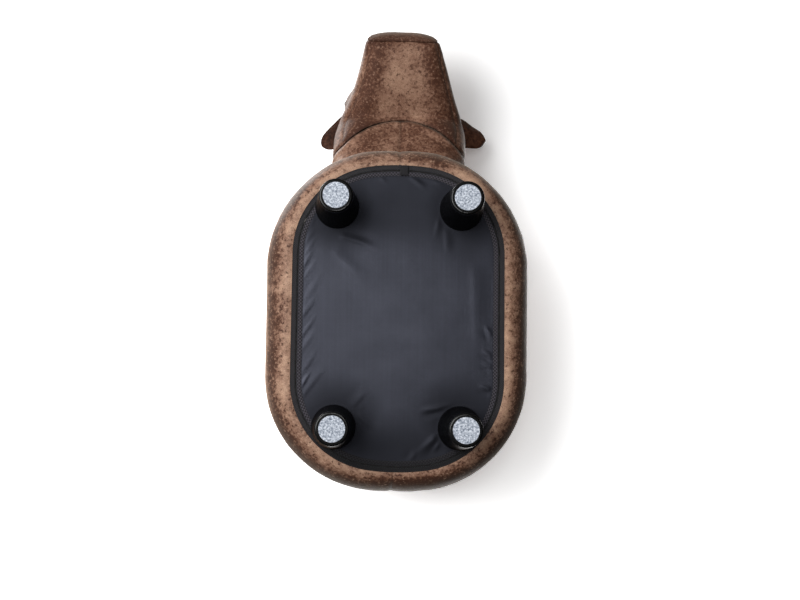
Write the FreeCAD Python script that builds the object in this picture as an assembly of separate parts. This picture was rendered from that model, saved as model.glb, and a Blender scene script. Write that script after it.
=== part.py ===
import FreeCAD, Part
import math
import os

os.makedirs("parts", exist_ok=True)
Vector = FreeCAD.Vector
up = Vector(0, 0, 1)
down = Vector(0, 0, -1)

# Driving dimensions in millimetres. The horse faces -Y, and its feet stand on z = 0.

# Feet
foot_height = 90.0
foot_top_diameter = 60.0
foot_tip_diameter = 44.0
foot_edge_round = 2.5
foot_seat_gap = 0.3  # between the foot and the base cover it is screwed up to
felt_diameter = 34.0
felt_thickness = 3.0
foot_side_setback = 60.0  # from the side of the zip opening to the foot's axis
foot_end_setback = 60.0  # from the end of the zip opening to the foot's axis
bolt_diameter = 8.0
bolt_depth = 32.0  # in the foot
bolt_proud = 4.0  # above the T-nut's flange
bolt_clearance = 0.1
nut_flange_diameter = 24.0
nut_flange_thickness = 1.8
nut_barrel_diameter = 10.0
nut_barrel_length = 12.0

# Body cover: a rounded oblong with a soft roll at the bottom edge and a crowned seat
body_width = 364.0
body_length = 477.0
body_height = 279.0  # from the underside to the crown of the seat
corner_centre = 27.0  # from the centre line to the centres of the corner arcs
end_radius = 330.0
rim_side_width = 36.5  # width of the leather roll on the underside, at the sides
rim_end_width = 28.5  # and at the ends
rim_height = 52.0
wall_lean = 10.0
crown_height = 62.0
crown_squareness = 2.4
crown_patch_round = 14.0  # corner radius of the level patch on top of the seat
cover_thickness = 2.0
fit_gap = 0.3
loft_degree = 3

# Base cover and zip
base_cloth = 1.0
tape_thickness = 0.8
tape_width = 7.0
tape_slit = 0.8  # between the two tapes, where the slider's web runs
coil_width = 2.2
coil_height = 2.0
slider_length = 10.0
slider_width = 6.4
slider_plate = 1.1
slider_web = 0.4
slider_clearance = 0.25
zip_start_offset = 5.5  # from the centre line to the parked slider
tab_width = 11.5
tab_cloth = 0.8
tab_hem = 1.6
groove_room = 1.0

# Frame
board_thickness = 15.0
board_margin = 16.0  # from the zip opening to the edge of the base board
post_size = 40.0
post_nut_gap = 4.0
frame_headroom = 74.0  # from the top board up to the crown of the seat
top_board_overhang = 12.0  # past the posts and the T-nuts
neck_plate_thickness = 12.0
spar_thickness = 18.0
spar_height = 40.0
spar_reach = 92.0  # in front of the body
spar_rise = 12.0  # above the throat
screw_diameter = 4.0
screw_head_diameter = 8.0
screw_head_depth = 2.5
screw_bite = 25.0  # length in the second piece
screw_clearance = 0.1
spar_screw_length = 60.0

# Neck and head, with reaches from the body's front and drops from the crown of the seat
neck_sink = 40.0  # how far the neck starts behind the body's front
neck_root_height = 72.0  # above the underside
neck_root_drop = 22.0  # to the top of the neck's root
neck_width = 212.0
neck_top_width = 162.0
neck_round = 60.0
throat_reach = 75.0
throat_drop = 142.0
poll_reach = 34.0
poll_rise = 9.0  # above the crown of the seat
cheek_width = 196.0
cheek_top_width = 158.0
cheek_round = 50.0
chin_reach = 172.0
chin_drop = 182.0
nose_reach = 210.0
nose_drop = 111.0
muzzle_width = 118.0
muzzle_top_width = 100.0
muzzle_round = 26.0
nose_pad = 9.0
nose_pad_draw = 10.0
cheek_swell = 2.0
jaw_sag = 6.0
brow_swell = 5.0
neck_swell = 3.0

# Ears, eyes, mane, forelock and tail
ear_place = 0.24  # share of the way from the poll to the nose
ear_spread = 60.0
ear_drop = 34.0
ear_length = 72.0
ear_width = 58.0
ear_tip_width = 16.0
ear_thickness = 16.0
ear_tip_thickness = 6.0
ear_sweep = 23.0
ear_lift = 14.0
eye_place = 0.42  # share of the way from the poll to the nose
eye_level = 0.66  # share of the way up the cheek
eye_diameter = 22.0
eye_dome = 8.0
eye_shank_diameter = 6.0
eye_shank_length = 16.0
eye_washer_diameter = 18.0
eye_washer_thickness = 1.5
strip_width = 10.0
strip_pitch = 12.0
strip_thickness = 2.0
mane_lift = 1.0  # between the mane's strips and the neck
mane_count = 5
forelock_count = 5
forelock_start = 0.03  # share of the way from the poll to the nose
forelock_end = 0.36  # share of the way from the poll to the nose
tail_count = 7
tail_top_drop = 77.0  # from the crown of the seat
tail_length = 105.0
tail_wrap_height = 26.0
tail_wrap_thickness = 4.0

# Places worked out from the driving dimensions
underside = felt_thickness + foot_height + foot_seat_gap
crown = underside + body_height
shoulder = crown - crown_height
half_width = body_width / 2
half_length = body_length / 2
corner_radius = half_width - corner_centre
opening_half_width = half_width - rim_side_width
opening_half_length = half_length - rim_end_width
foot_x = opening_half_width - foot_side_setback
foot_y = opening_half_length - foot_end_setback
board_bottom = underside + base_cloth
board_top = board_bottom + board_thickness
frame_top = crown - frame_headroom
post_x = foot_x
plate_front = foot_y - nut_flange_diameter / 2 - post_nut_gap
plate_back = plate_front - neck_plate_thickness
post_y = plate_back - post_size / 2
zip_middle = tape_width + tape_slit / 2
zip_width = 2 * tape_width + tape_slit
post_top = frame_top - board_thickness
spar_bottom = crown - throat_drop + spar_rise

nodes = {}


# Helpers

def mix(first, second, share):
    return first + (second - first) * share


def swell(share):
    return 4 * share * (1 - share)


def loft(wires):
    return Part.makeLoft(wires, True, False, False, loft_degree)


def box(low, high):
    size = high - low
    return Part.makeBox(size.x, size.y, size.z, low)


def group(solids):
    return Part.Compound(solids)


def four_corners(x, y):
    return [(side * x, end * y) for end in (-1, 1) for side in (-1, 1)]


def screw(head, direction, length, clearance):
    shank_radius = screw_diameter / 2 + clearance
    head_radius = screw_head_diameter / 2 + clearance
    shank = Part.makeCylinder(shank_radius, length + clearance, head, direction)
    return shank.fuse(Part.makeCone(head_radius, shank_radius, screw_head_depth, head, direction))


def cut_all(shape, cutters):
    return shape.cut(group(cutters))


# Outlines of the body, seen from above

def outline(side_inset, end_inset, z):
    side = half_width - side_inset
    end = half_length - end_inset
    corner = corner_radius - (side_inset + end_inset) / 2
    bow = end_radius - end_inset
    centre_x = side - corner
    turn = math.asin(centre_x / (bow - corner))
    centre_y = end - bow + (bow - corner) * math.cos(turn)
    meet = Vector(bow * math.sin(turn), end - bow + bow * math.cos(turn), z)
    half_turn = (math.pi / 2 - turn) / 2
    middle = Vector(
        centre_x + corner * math.cos(half_turn), centre_y + corner * math.sin(half_turn), z
    )
    start = Vector(side, centre_y, z)

    def flip(point, x_sign, y_sign):
        return Vector(point.x * x_sign, point.y * y_sign, point.z)

    edges = [Part.LineSegment(flip(start, 1, -1), start)]
    edges.append(Part.Arc(start, middle, meet))
    edges.append(Part.Arc(meet, Vector(0, end, z), flip(meet, -1, 1)))
    edges.append(Part.Arc(flip(meet, -1, 1), flip(middle, -1, 1), flip(start, -1, 1)))
    edges.append(Part.LineSegment(flip(start, -1, 1), flip(start, -1, -1)))
    edges.append(Part.Arc(flip(start, -1, -1), flip(middle, -1, -1), flip(meet, -1, -1)))
    edges.append(Part.Arc(flip(meet, -1, -1), Vector(0, -end, z), flip(meet, 1, -1)))
    edges.append(Part.Arc(flip(meet, 1, -1), flip(middle, 1, -1), flip(start, 1, -1)))
    return Part.Wire([edge.toShape() for edge in edges])


def plate(inset, bottom, thickness):
    wire = outline(rim_side_width + inset, rim_end_width + inset, bottom)
    return Part.Face(wire).extrude(up * thickness)


def ring(outer_inset, inner_inset, bottom, thickness):
    return plate(outer_inset, bottom, thickness).cut(plate(inner_inset, bottom, thickness))


def body_profile():
    stations = []
    roll_steps = 5
    for step in range(roll_steps):
        angle = math.pi / 2 * step / (roll_steps - 1)
        share = 1 - math.sin(angle)
        height = underside + rim_height * (1 - math.cos(angle))
        stations.append((rim_side_width * share, rim_end_width * share, height))
    wall_steps = 2
    for step in range(1, wall_steps + 1):
        share = step / (wall_steps + 1)
        lean = wall_lean * share**2
        stations.append((lean, lean, mix(underside + rim_height, shoulder, share)))
    span = corner_radius - wall_lean
    power = 2 / crown_squareness
    last = math.acos((crown_patch_round / span) ** (1 / power))
    crown_scale = crown_height / math.sin(last) ** power
    crown_steps = 7
    for step in range(crown_steps):
        angle = last * step / (crown_steps - 1)
        inset = wall_lean + span * (1 - math.cos(angle) ** power)
        stations.append((inset, inset, shoulder + crown_scale * math.sin(angle) ** power))
    return stations


def body_solid(depth):
    profile = body_profile()
    wires = []
    for index, (side, end, z) in enumerate(profile):
        before = profile[max(index - 1, 0)]
        after = profile[min(index + 1, len(profile) - 1)]
        slope = Vector(after[0] - before[0], 0, after[2] - before[2])
        if index == 0:
            slope = Vector(-1, 0, 0)
        if index == len(profile) - 1:
            slope = Vector(1, 0, 0)
        slope.normalize()
        inward = slope.z * depth
        wires.append(outline(side + inward, end + inward, z - slope.x * depth))
    return loft(wires)


def rear_wall(x, z):
    share = (z - underside - rim_height) / (shoulder - underside - rim_height)
    bow = end_radius - math.sqrt(end_radius**2 - x**2)
    return half_length - wall_lean * share**2 - bow


# Cross-sections of the neck and head, symmetric about x = 0

def neck_section(share):
    root_bottom = Vector(0, neck_sink - half_length, underside + neck_root_height)
    root_top = Vector(0, neck_sink - half_length, crown - neck_root_drop)
    throat = Vector(0, -half_length - throat_reach, crown - throat_drop)
    poll = Vector(0, -half_length - poll_reach, crown + poll_rise)
    bulge = neck_swell * swell(share)
    return {
        "bottom": mix(root_bottom, throat, share) + down * bulge,
        "top": mix(root_top, poll, share) + up * bulge,
        "half_bottom": mix(neck_width, cheek_width, share) / 2 + bulge,
        "half_top": mix(neck_top_width, cheek_top_width, share) / 2 + bulge,
        "round": mix(neck_round, cheek_round, share),
    }


def head_section(share):
    throat = Vector(0, -half_length - throat_reach, crown - throat_drop)
    chin = Vector(0, -half_length - chin_reach, crown - chin_drop)
    poll = Vector(0, -half_length - poll_reach, crown + poll_rise)
    nose = Vector(0, -half_length - nose_reach, crown - nose_drop)
    return {
        "bottom": mix(throat, chin, share) + down * (jaw_sag * swell(share)),
        "top": mix(poll, nose, share) + up * (brow_swell * swell(share)),
        "half_bottom": mix(cheek_width, muzzle_width, share) / 2 + cheek_swell * swell(share),
        "half_top": mix(cheek_top_width, muzzle_top_width, share) / 2 + cheek_swell * swell(share),
        "round": mix(cheek_round, muzzle_round, share),
    }


def section_axes(section):
    rise = section["top"] - section["bottom"]
    height = rise.Length
    rise.normalize()
    forward = Vector(1, 0, 0).cross(rise)
    return rise, height, forward


def place(section, x, v):
    rise = section_axes(section)[0]
    return section["bottom"] + Vector(x, 0, 0) + rise * v


def round_corner(corner, arrive, leave, radius):
    turn = arrive.getAngle(leave)
    inward = leave - arrive
    inward.normalize()
    reach = radius * math.tan(turn / 2)
    centre = corner + inward * (radius / math.cos(turn / 2))
    points = [corner - arrive * reach]
    for share in (0.25, 0.5, 0.75):
        spoke = (points[0] - centre) * (1 - share) + (corner + leave * reach - centre) * share
        spoke.normalize()
        points.append(centre + spoke * radius)
    points.append(corner + leave * reach)
    return points


def half_outline(section, inset, side):
    rise, height, forward = section_axes(section)
    lean = section["half_top"] - section["half_bottom"]
    length = math.hypot(lean, height)
    draw = inset * length / height
    radius = section["round"] - inset
    low = Vector(section["half_bottom"] + lean * inset / height - draw, inset, 0)
    high = Vector(section["half_bottom"] + lean * (height - inset) / height - draw, height - inset, 0)
    out = Vector(1, 0, 0)
    along = Vector(lean / length, height / length, 0)
    first = round_corner(low, out, along, radius)
    second = round_corner(high, along, -out, radius)
    flat = [
        [Vector(0, inset, 0), first[0]],
        first[:3],
        first[2:],
        [first[-1], second[0]],
        second[:3],
        second[2:],
        [second[-1], Vector(0, height - inset, 0)],
    ]
    return [[place(section, side * point.x, point.y) for point in piece] for piece in flat]


def backwards(pieces):
    return [piece[::-1] for piece in pieces[::-1]]


def joined(pieces):
    edges = []
    for piece in pieces:
        curve = Part.LineSegment(*piece) if len(piece) == 2 else Part.Arc(*piece)
        edges.append(curve.toShape())
    return Part.Wire(edges)


def strip_wire(outer, inner):
    close_far = [[outer[-1][-1], inner[-1][-1]]]
    close_near = [[inner[0][0], outer[0][0]]]
    return joined(outer + close_far + backwards(inner) + close_near)


def full_wire(section, inset):
    return joined(half_outline(section, inset, 1) + backwards(half_outline(section, inset, -1)))


def stations(section_of):
    count = 5
    return [section_of(index / (count - 1)) for index in range(count)]


def stuffed(section_of, inset):
    return loft([full_wire(section, inset) for section in stations(section_of)])


def sewn_panel(section_of, path_of):
    wires = []
    for section in stations(section_of):
        wires.append(strip_wire(path_of(section, 0.0), path_of(section, cover_thickness)))
    return loft(wires)


def jaw_path(section, inset):
    left = half_outline(section, inset, -1)
    right = half_outline(section, inset, 1)
    return backwards(left[:2]) + right[:2]


def face_path(section, inset):
    left = half_outline(section, inset, -1)
    right = half_outline(section, inset, 1)
    return right[5:] + backwards(left[5:])


def cheek_path(side):
    return lambda section, inset: half_outline(section, inset, side)[2:5]


def neck_half_path(side):
    return lambda section, inset: half_outline(section, inset, side)


# Feet

def make_feet():
    names = ("front_right", "front_left", "rear_right", "rear_left")
    bolts, nuts = [], []
    foot_top = felt_thickness + foot_height
    nut_seat = board_top - nut_barrel_length
    for name, (x, y) in zip(names, four_corners(foot_x, foot_y)):
        tip = Vector(x, y, felt_thickness)
        cone = Part.makeCone(foot_tip_diameter / 2, foot_top_diameter / 2, foot_height, tip)
        rim = [edge for edge in cone.Edges if edge.BoundBox.ZMax < tip.z + fit_gap]
        cone = cone.makeFillet(foot_edge_round, rim)
        bolt_start = Vector(x, y, foot_top - bolt_depth)
        bore = Part.makeCylinder(bolt_diameter / 2 + bolt_clearance, bolt_depth, bolt_start)
        nodes["foot_" + name] = cone.cut(bore)
        nodes["felt_" + name] = Part.makeCylinder(felt_diameter / 2, felt_thickness, Vector(x, y, 0))
        bolt_end = board_top + nut_flange_thickness + bolt_proud
        bolts.append(Part.makeCylinder(bolt_diameter / 2, bolt_end - bolt_start.z, bolt_start))
        barrel = Part.makeCylinder(nut_barrel_diameter / 2, nut_barrel_length, Vector(x, y, nut_seat))
        flange = Part.makeCylinder(nut_flange_diameter / 2, nut_flange_thickness, Vector(x, y, board_top))
        thread_radius = bolt_diameter / 2 + bolt_clearance
        thread = Part.makeCylinder(thread_radius, bolt_end - nut_seat, Vector(x, y, nut_seat))
        nuts.append(barrel.fuse(flange).cut(thread))
    nodes["foot_bolts"] = group(bolts)
    nodes["leg_t_nuts"] = group(nuts)


# Frame

def make_frame():
    screws, holes = [], []
    plate_screw_inset = 2 * (screw_head_depth + screw_bite)
    for x, y in four_corners(post_x, post_y):
        for head, direction in ((Vector(x, y, board_bottom), up), (Vector(x, y, frame_top), down)):
            screws.append(screw(head, direction, board_thickness + screw_bite, 0.0))
            holes.append(screw(head, direction, board_thickness + screw_bite, screw_clearance))
    for x in (-post_x, post_x):
        for z in (board_top + plate_screw_inset, post_top - plate_screw_inset):
            head = Vector(x, -plate_front, z)
            back = Vector(0, 1, 0)
            screws.append(screw(head, back, neck_plate_thickness + screw_bite, 0.0))
            holes.append(screw(head, back, neck_plate_thickness + screw_bite, screw_clearance))

    base = plate(board_margin, board_bottom, board_thickness)
    barrel_room = nut_barrel_diameter / 2 + bolt_clearance
    for x, y in four_corners(foot_x, foot_y):
        base = base.cut(Part.makeCylinder(barrel_room, board_thickness, Vector(x, y, board_bottom)))
    nodes["base_board"] = cut_all(base, holes)

    half_post = Vector(post_size / 2, post_size / 2, 0)
    posts = []
    for x, y in four_corners(post_x, post_y):
        middle = Vector(x, y, 0)
        posts.append(box(middle - half_post + up * board_top, middle + half_post + up * post_top))
    nodes["frame_posts"] = group([cut_all(post, holes) for post in posts])

    top_x, top_y = top_board_half()
    top = box(Vector(-top_x, -top_y, post_top), Vector(top_x, top_y, frame_top))
    nodes["top_board"] = cut_all(top, holes)
    nodes["frame_screws"] = group(screws)

    plate_x = post_x + post_size / 2
    neck_plate = box(Vector(-plate_x, -plate_front, board_top), Vector(plate_x, -plate_back, post_top))
    spar = box(*spar_corners(0.0))
    spar_screws, spar_holes = [], []
    for share in (0.25, 0.75):
        head = Vector(0, -plate_back, spar_bottom + spar_height * share)
        forward = Vector(0, -1, 0)
        spar_screws.append(screw(head, forward, spar_screw_length, 0.0))
        spar_holes.append(screw(head, forward, spar_screw_length, screw_clearance))
    nodes["neck_plate"] = cut_all(neck_plate, holes + spar_holes)
    nodes["neck_spar"] = cut_all(spar, spar_holes)
    nodes["neck_screws"] = group(spar_screws)


def top_board_half():
    widest = max(post_size, nut_flange_diameter) / 2
    return post_x + widest + top_board_overhang, foot_y + nut_flange_diameter / 2 + top_board_overhang


def spar_corners(room):
    low = Vector(-spar_thickness / 2, -half_length - spar_reach, spar_bottom)
    high = Vector(spar_thickness / 2, -plate_front, spar_bottom + spar_height)
    spread = Vector(room, room, room)
    return low - spread, high + spread


# Padding and leather of the body

def make_body():
    foam = body_solid(cover_thickness + fit_gap)
    top_x, top_y = top_board_half()
    spar_slot = box(*spar_corners(fit_gap))
    far = Vector(body_width, body_length, 0)
    lower = box(-far + up * underside, far + up * frame_top)
    room = Vector(fit_gap, fit_gap, 0)
    corner = Vector(top_x, top_y, 0) + room
    cavity = box(-corner + up * board_top, corner + up * frame_top)
    board_pocket = plate(board_margin - fit_gap, underside, board_bottom + board_thickness - underside)
    reach = slider_width / 2 + groove_room
    groove_top = base_cloth + coil_height + slider_clearance + slider_plate + groove_room
    groove = ring(zip_middle - reach, zip_middle + reach, underside, groove_top)
    walls = cut_all(foam.common(lower), [cavity, board_pocket, groove, spar_slot])
    slabs = {
        "left": (Vector(corner.x, -far.y, 0), far),
        "right": (-far, Vector(-corner.x, far.y, 0)),
        "front": (Vector(-corner.x, -far.y, 0), Vector(corner.x, 0, 0)),
        "rear": (Vector(-corner.x, 0, 0), Vector(corner.x, far.y, 0)),
    }
    for name, (low, high) in slabs.items():
        nodes["side_foam_" + name] = walls.common(box(low + up * underside, high + up * frame_top))
    nodes["seat_foam"] = foam.cut(lower)

    skin = body_solid(0.0).cut(body_solid(cover_thickness))
    skin = skin.cut(plate(0.0, underside - cover_thickness, 3 * cover_thickness))
    skin = skin.cut(spar_slot)
    nodes["seat_cover"] = skin.common(box(-far + up * shoulder, far + up * (crown + cover_thickness)))
    for name, side in (("left", 1), ("right", -1)):
        near = Vector(0, -body_length, underside - cover_thickness)
        outer = Vector(side * body_width, body_length, shoulder)
        low = Vector(min(near.x, outer.x), near.y, near.z)
        high = Vector(max(near.x, outer.x), outer.y, outer.z)
        nodes["body_cover_" + name] = skin.common(box(low, high))


# Base cover and zip

def sector(inner, outer, half_angle, bottom, thickness, pivot):
    def at(radius, angle):
        return Vector(pivot.x + radius * math.sin(angle), pivot.y - radius * math.cos(angle), bottom)

    pieces = [
        [at(inner, -half_angle), at(inner, 0), at(inner, half_angle)],
        [at(inner, half_angle), at(outer, half_angle)],
        [at(outer, half_angle), at(outer, 0), at(outer, -half_angle)],
        [at(outer, -half_angle), at(inner, -half_angle)],
    ]
    return Part.Face(joined(pieces)).extrude(up * thickness)


def make_base():
    cloth = plate(zip_width + fit_gap, underside, base_cloth)
    for x, y in four_corners(foot_x, foot_y):
        hole = Part.makeCylinder(bolt_diameter / 2 + fit_gap, base_cloth, Vector(x, y, underside))
        cloth = cloth.cut(hole)
    nodes["base_cover"] = cloth
    half_slit = tape_slit / 2
    nodes["zip_tape_outer"] = ring(fit_gap, zip_middle - half_slit, underside, tape_thickness)
    nodes["zip_tape_inner"] = ring(zip_middle + half_slit, zip_width, underside, tape_thickness)
    coil_bottom = underside + tape_thickness
    slit_near, slit_far = zip_middle - half_slit, zip_middle + half_slit
    nodes["zip_coil_outer"] = ring(slit_near - coil_width, slit_near, coil_bottom, coil_height)
    nodes["zip_coil_inner"] = ring(slit_far, slit_far + coil_width, coil_bottom, coil_height)

    pivot = Vector(0, end_radius - half_length, 0)
    track = end_radius - rim_end_width - zip_middle
    half_angle = slider_length / 2 / track
    half_plate = slider_width / 2
    outside = underside - slider_clearance - slider_plate
    inside = coil_bottom + coil_height + slider_clearance
    slider = sector(track - half_plate, track + half_plate, half_angle, outside, slider_plate, pivot)
    web_half = slider_web / 2
    web = sector(track - web_half, track + web_half, half_angle, outside, inside - outside, pivot)
    inner_plate = sector(track - half_plate, track + half_plate, half_angle, inside, slider_plate, pivot)
    slider = slider.fuse([web, inner_plate])

    tab_angle = tab_width / 2 / track
    tab_bottom = outside - slider_clearance - tab_cloth
    tab_inner, tab_outer = track - tape_width, track + tape_width
    tab = sector(tab_inner, tab_outer, tab_angle, tab_bottom, tab_cloth, pivot)
    hem_height = underside - tab_bottom
    hems = []
    for hem_inner in (tab_inner, tab_outer - tab_hem):
        hems.append(sector(hem_inner, hem_inner + tab_hem, tab_angle, tab_bottom, hem_height, pivot))
    tab = tab.fuse(hems)
    park = math.degrees(zip_start_offset / track)
    for name, shape in (("zip_slider", slider), ("zip_tab", tab)):
        shape.rotate(pivot, up, park)
        nodes[name] = shape


# Neck and head

def make_neck_and_head():
    body_room = body_solid(-fit_gap)
    spar_slot = box(*spar_corners(fit_gap))
    stuffing = cover_thickness + fit_gap
    nodes["neck_foam"] = cut_all(stuffed(neck_section, stuffing), [body_room, spar_slot])
    head_foam = stuffed(head_section, stuffing).cut(spar_slot)
    for name, side in (("left", 1), ("right", -1)):
        nodes["neck_cover_" + name] = sewn_panel(neck_section, neck_half_path(side)).cut(body_room)
    nodes["jaw_panel"] = sewn_panel(head_section, jaw_path)
    nodes["face_panel"] = sewn_panel(head_section, face_path)

    end = head_section(1.0)
    forward = section_axes(end)[2]
    drawn = full_wire(end, nose_pad_draw)
    drawn.translate(forward * nose_pad)
    nodes["nose_panel"] = Part.makeLoft([full_wire(end, 0.0), drawn], True, True)

    head_room = stuffed(head_section, -fit_gap)
    neck_room = stuffed(neck_section, -fit_gap)
    washers = []
    for name, side in (("left", 1), ("right", -1)):
        cheek = sewn_panel(head_section, cheek_path(side))
        nodes["ear_" + name] = cut_all(ear(side), [head_room, neck_room])
        seat, axis = eye_axis(side)
        shank_start = seat - axis * eye_shank_length
        hole_radius = eye_shank_diameter / 2 + fit_gap
        hole = Part.makeCylinder(hole_radius, eye_shank_length * 2, shank_start, axis)
        pocket_start = seat - axis * (cover_thickness + fit_gap + eye_washer_thickness * 2)
        pocket_radius = eye_washer_diameter / 2 + fit_gap
        pocket = Part.makeCylinder(pocket_radius, eye_washer_thickness * 3, pocket_start, axis)
        nodes["cheek_" + name] = cheek.cut(hole)
        head_foam = cut_all(head_foam, [hole, pocket])
        nodes["eye_" + name] = eye(seat, axis, head_room)
        washer_start = seat - axis * (cover_thickness + fit_gap + eye_washer_thickness)
        washer = Part.makeCylinder(eye_washer_diameter / 2, eye_washer_thickness, washer_start, axis)
        bore = Part.makeCylinder(
            eye_shank_diameter / 2 + bolt_clearance, eye_washer_thickness, washer_start, axis
        )
        washers.append(washer.cut(bore))
    nodes["eye_washers"] = group(washers)
    nodes["head_foam"] = head_foam


def ear(side):
    section = head_section(ear_place)
    rise, height, forward = section_axes(section)
    root = place(section, side * ear_spread, height - ear_drop)
    tip = root + Vector(side * ear_length, ear_sweep, ear_lift)
    axis = tip - root
    axis.normalize()
    across = forward - axis * forward.dot(axis)
    across.normalize()
    thick = axis.cross(across)
    wires = []
    steps = 4
    for step in range(steps + 1):
        share = step / steps
        half = mix(ear_width, ear_tip_width, share**2) / 2
        bulge = thick * (mix(ear_thickness, ear_tip_thickness, share) / 2)
        middle = mix(root, tip, share)
        front, back = middle + across * half, middle - across * half
        wires.append(joined([[front, middle + bulge, back], [back, middle - bulge, front]]))
    return loft(wires)


def eye_axis(side):
    def cheek_point(place_share, level):
        section = head_section(place_share)
        height = section_axes(section)[1]
        x = mix(section["half_bottom"], section["half_top"], level)
        return place(section, side * x, height * level)

    step = 0.05
    seat = cheek_point(eye_place, eye_level)
    along = cheek_point(eye_place + step, eye_level) - cheek_point(eye_place - step, eye_level)
    rise = cheek_point(eye_place, eye_level + step) - cheek_point(eye_place, eye_level - step)
    axis = along.cross(rise)
    axis.normalize()
    if axis.x * side < 0:
        axis = -axis
    return seat, axis


def eye(seat, axis, head_room):
    radius = ((eye_diameter / 2) ** 2 + eye_dome**2) / (2 * eye_dome)
    ball = Part.makeSphere(radius, seat + axis * (eye_dome - radius))
    front = Part.makeCylinder(eye_diameter, eye_diameter, seat, axis)
    dome = ball.common(front).cut(head_room)
    shank_length = eye_shank_length + eye_dome / 2
    shank = Part.makeCylinder(eye_shank_diameter / 2, shank_length, seat - axis * eye_shank_length, axis)
    return dome.fuse(shank)


# Mane, forelock and tail in leather strips that lie on the cover

def strip_row(count):
    return [(index - (count - 1) / 2) * strip_pitch for index in range(count)]


def flat_strip(middle, near):
    left = Vector(middle - strip_width / 2, 0, 0)
    out = [point[1] for point in near]
    inner = [left + point[0] for point in near]
    outer = [inner[index] + out[index] * strip_thickness for index in range(len(near))]
    return Part.Face(strip_wire([inner], [outer])).extrude(Vector(strip_width, 0, 0))


def crest_section(index):
    crest = neck_section(1.0)["top"] - neck_section(0.0)["top"]
    share = 1 - strip_pitch / crest.Length * (index + 0.5)
    crest.normalize()
    return neck_section(share), crest


def make_mane():
    mane = []
    for index in range(mane_count):
        section, crest = crest_section(index)
        for side in (-1, 1):
            inner = half_outline(section, -mane_lift, side)[5:]
            outer = half_outline(section, -mane_lift - strip_thickness, side)[5:]
            band = Part.Face(strip_wire(outer, inner)).extrude(crest * strip_width)
            band.translate(crest * (-strip_width / 2))
            mane.append(band)
    nodes["mane"] = group(mane)


def make_forelock():
    near = []
    for share in (0.0, 0.5, 1.0):
        section = head_section(mix(forelock_start, forelock_end, share))
        rise, height, forward = section_axes(section)
        near.append((place(section, 0, height) + rise * (2 * fit_gap), rise))
    nodes["forelock"] = group([flat_strip(middle, near) for middle in strip_row(forelock_count)])


def make_tail():
    top = crown - tail_top_drop
    back = Vector(0, 1, 0)
    tail = []
    for middle in strip_row(tail_count):
        closest = max(abs(middle) - strip_width / 2, 0)
        near = []
        for share in (0.0, 0.5, 1.0):
            z = top - tail_length * share
            near.append((Vector(0, rear_wall(closest, z) + fit_gap, z), back))
        tail.append(flat_strip(middle, near))
    nodes["tail"] = group(tail)
    wrap_half = tail_count * strip_pitch / 2
    wrap_bottom = top - tail_wrap_height / 2
    wrap_front = rear_wall(0, wrap_bottom) + strip_thickness + 2 * fit_gap
    nodes["tail_wrap"] = box(
        Vector(-wrap_half, wrap_front, wrap_bottom),
        Vector(wrap_half, wrap_front + tail_wrap_thickness, wrap_bottom + tail_wrap_height),
    )


make_feet()
make_frame()
make_body()
make_base()
make_neck_and_head()
make_mane()
make_forelock()
make_tail()

whole = group(list(nodes.values())).optimalBoundingBox()
centring = Vector(0, -(whole.YMin + whole.YMax) / 2, 0)
for name, shape in nodes.items():
    shape.translate(centring)
    shape.exportStep("parts/" + name + ".step")
    state = "valid" if shape.isValid() else "INVALID"
    print(name, state, len(shape.Solids), "solids", round(shape.Volume / 1000, 2), "cm3")
print("size", round(whole.XLength, 1), round(whole.YLength, 1), round(whole.ZLength, 1))
print("body centre at y", round(centring.y, 3))
print("feet at x", foot_x, "and y", round(centring.y - foot_y, 3), round(centring.y + foot_y, 3))
print("zip pivot at y", round(centring.y + end_radius - half_length, 3), "crown at z", crown)
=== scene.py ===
import bpy
import math
import random
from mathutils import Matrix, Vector, noise


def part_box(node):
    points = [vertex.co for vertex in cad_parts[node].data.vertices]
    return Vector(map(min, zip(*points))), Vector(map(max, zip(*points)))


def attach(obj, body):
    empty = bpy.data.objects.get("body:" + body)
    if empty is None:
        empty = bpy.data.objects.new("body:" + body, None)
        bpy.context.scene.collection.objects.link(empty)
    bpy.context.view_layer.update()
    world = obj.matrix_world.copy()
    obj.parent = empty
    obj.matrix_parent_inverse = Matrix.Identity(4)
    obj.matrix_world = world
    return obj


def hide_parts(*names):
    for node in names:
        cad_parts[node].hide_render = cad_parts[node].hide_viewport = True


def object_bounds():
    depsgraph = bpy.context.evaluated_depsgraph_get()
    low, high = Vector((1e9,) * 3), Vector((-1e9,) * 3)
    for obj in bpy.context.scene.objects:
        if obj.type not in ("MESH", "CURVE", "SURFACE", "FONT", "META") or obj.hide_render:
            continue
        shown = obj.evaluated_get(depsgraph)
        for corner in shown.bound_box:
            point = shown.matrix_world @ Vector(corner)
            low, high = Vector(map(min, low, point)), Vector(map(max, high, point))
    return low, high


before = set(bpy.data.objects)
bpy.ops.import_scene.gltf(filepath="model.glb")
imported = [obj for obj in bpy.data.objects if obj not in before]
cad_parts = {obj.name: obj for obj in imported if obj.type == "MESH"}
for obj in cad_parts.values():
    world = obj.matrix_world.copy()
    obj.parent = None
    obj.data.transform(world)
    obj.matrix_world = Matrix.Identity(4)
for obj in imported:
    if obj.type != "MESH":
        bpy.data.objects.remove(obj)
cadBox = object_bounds()
scene = bpy.context.scene
scene.view_settings.view_transform = "Standard"
print("frame loaded:", len(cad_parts), "nodes")

baseLow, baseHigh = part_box("base_cover")
seatLow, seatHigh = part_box("seat_cover")
bodyY = (baseLow.y + baseHigh.y) / 2
undersideZ = baseLow.z
shoulderZ = seatLow.z
crownZ = seatHigh.z


# Small helpers

def ease(value):
    value = min(max(value, 0.0), 1.0)
    return value * value * (3 - 2 * value)


def between(first, second, share):
    return first + (second - first) * share


def hump(share):
    return 4 * share * (1 - share)


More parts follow.
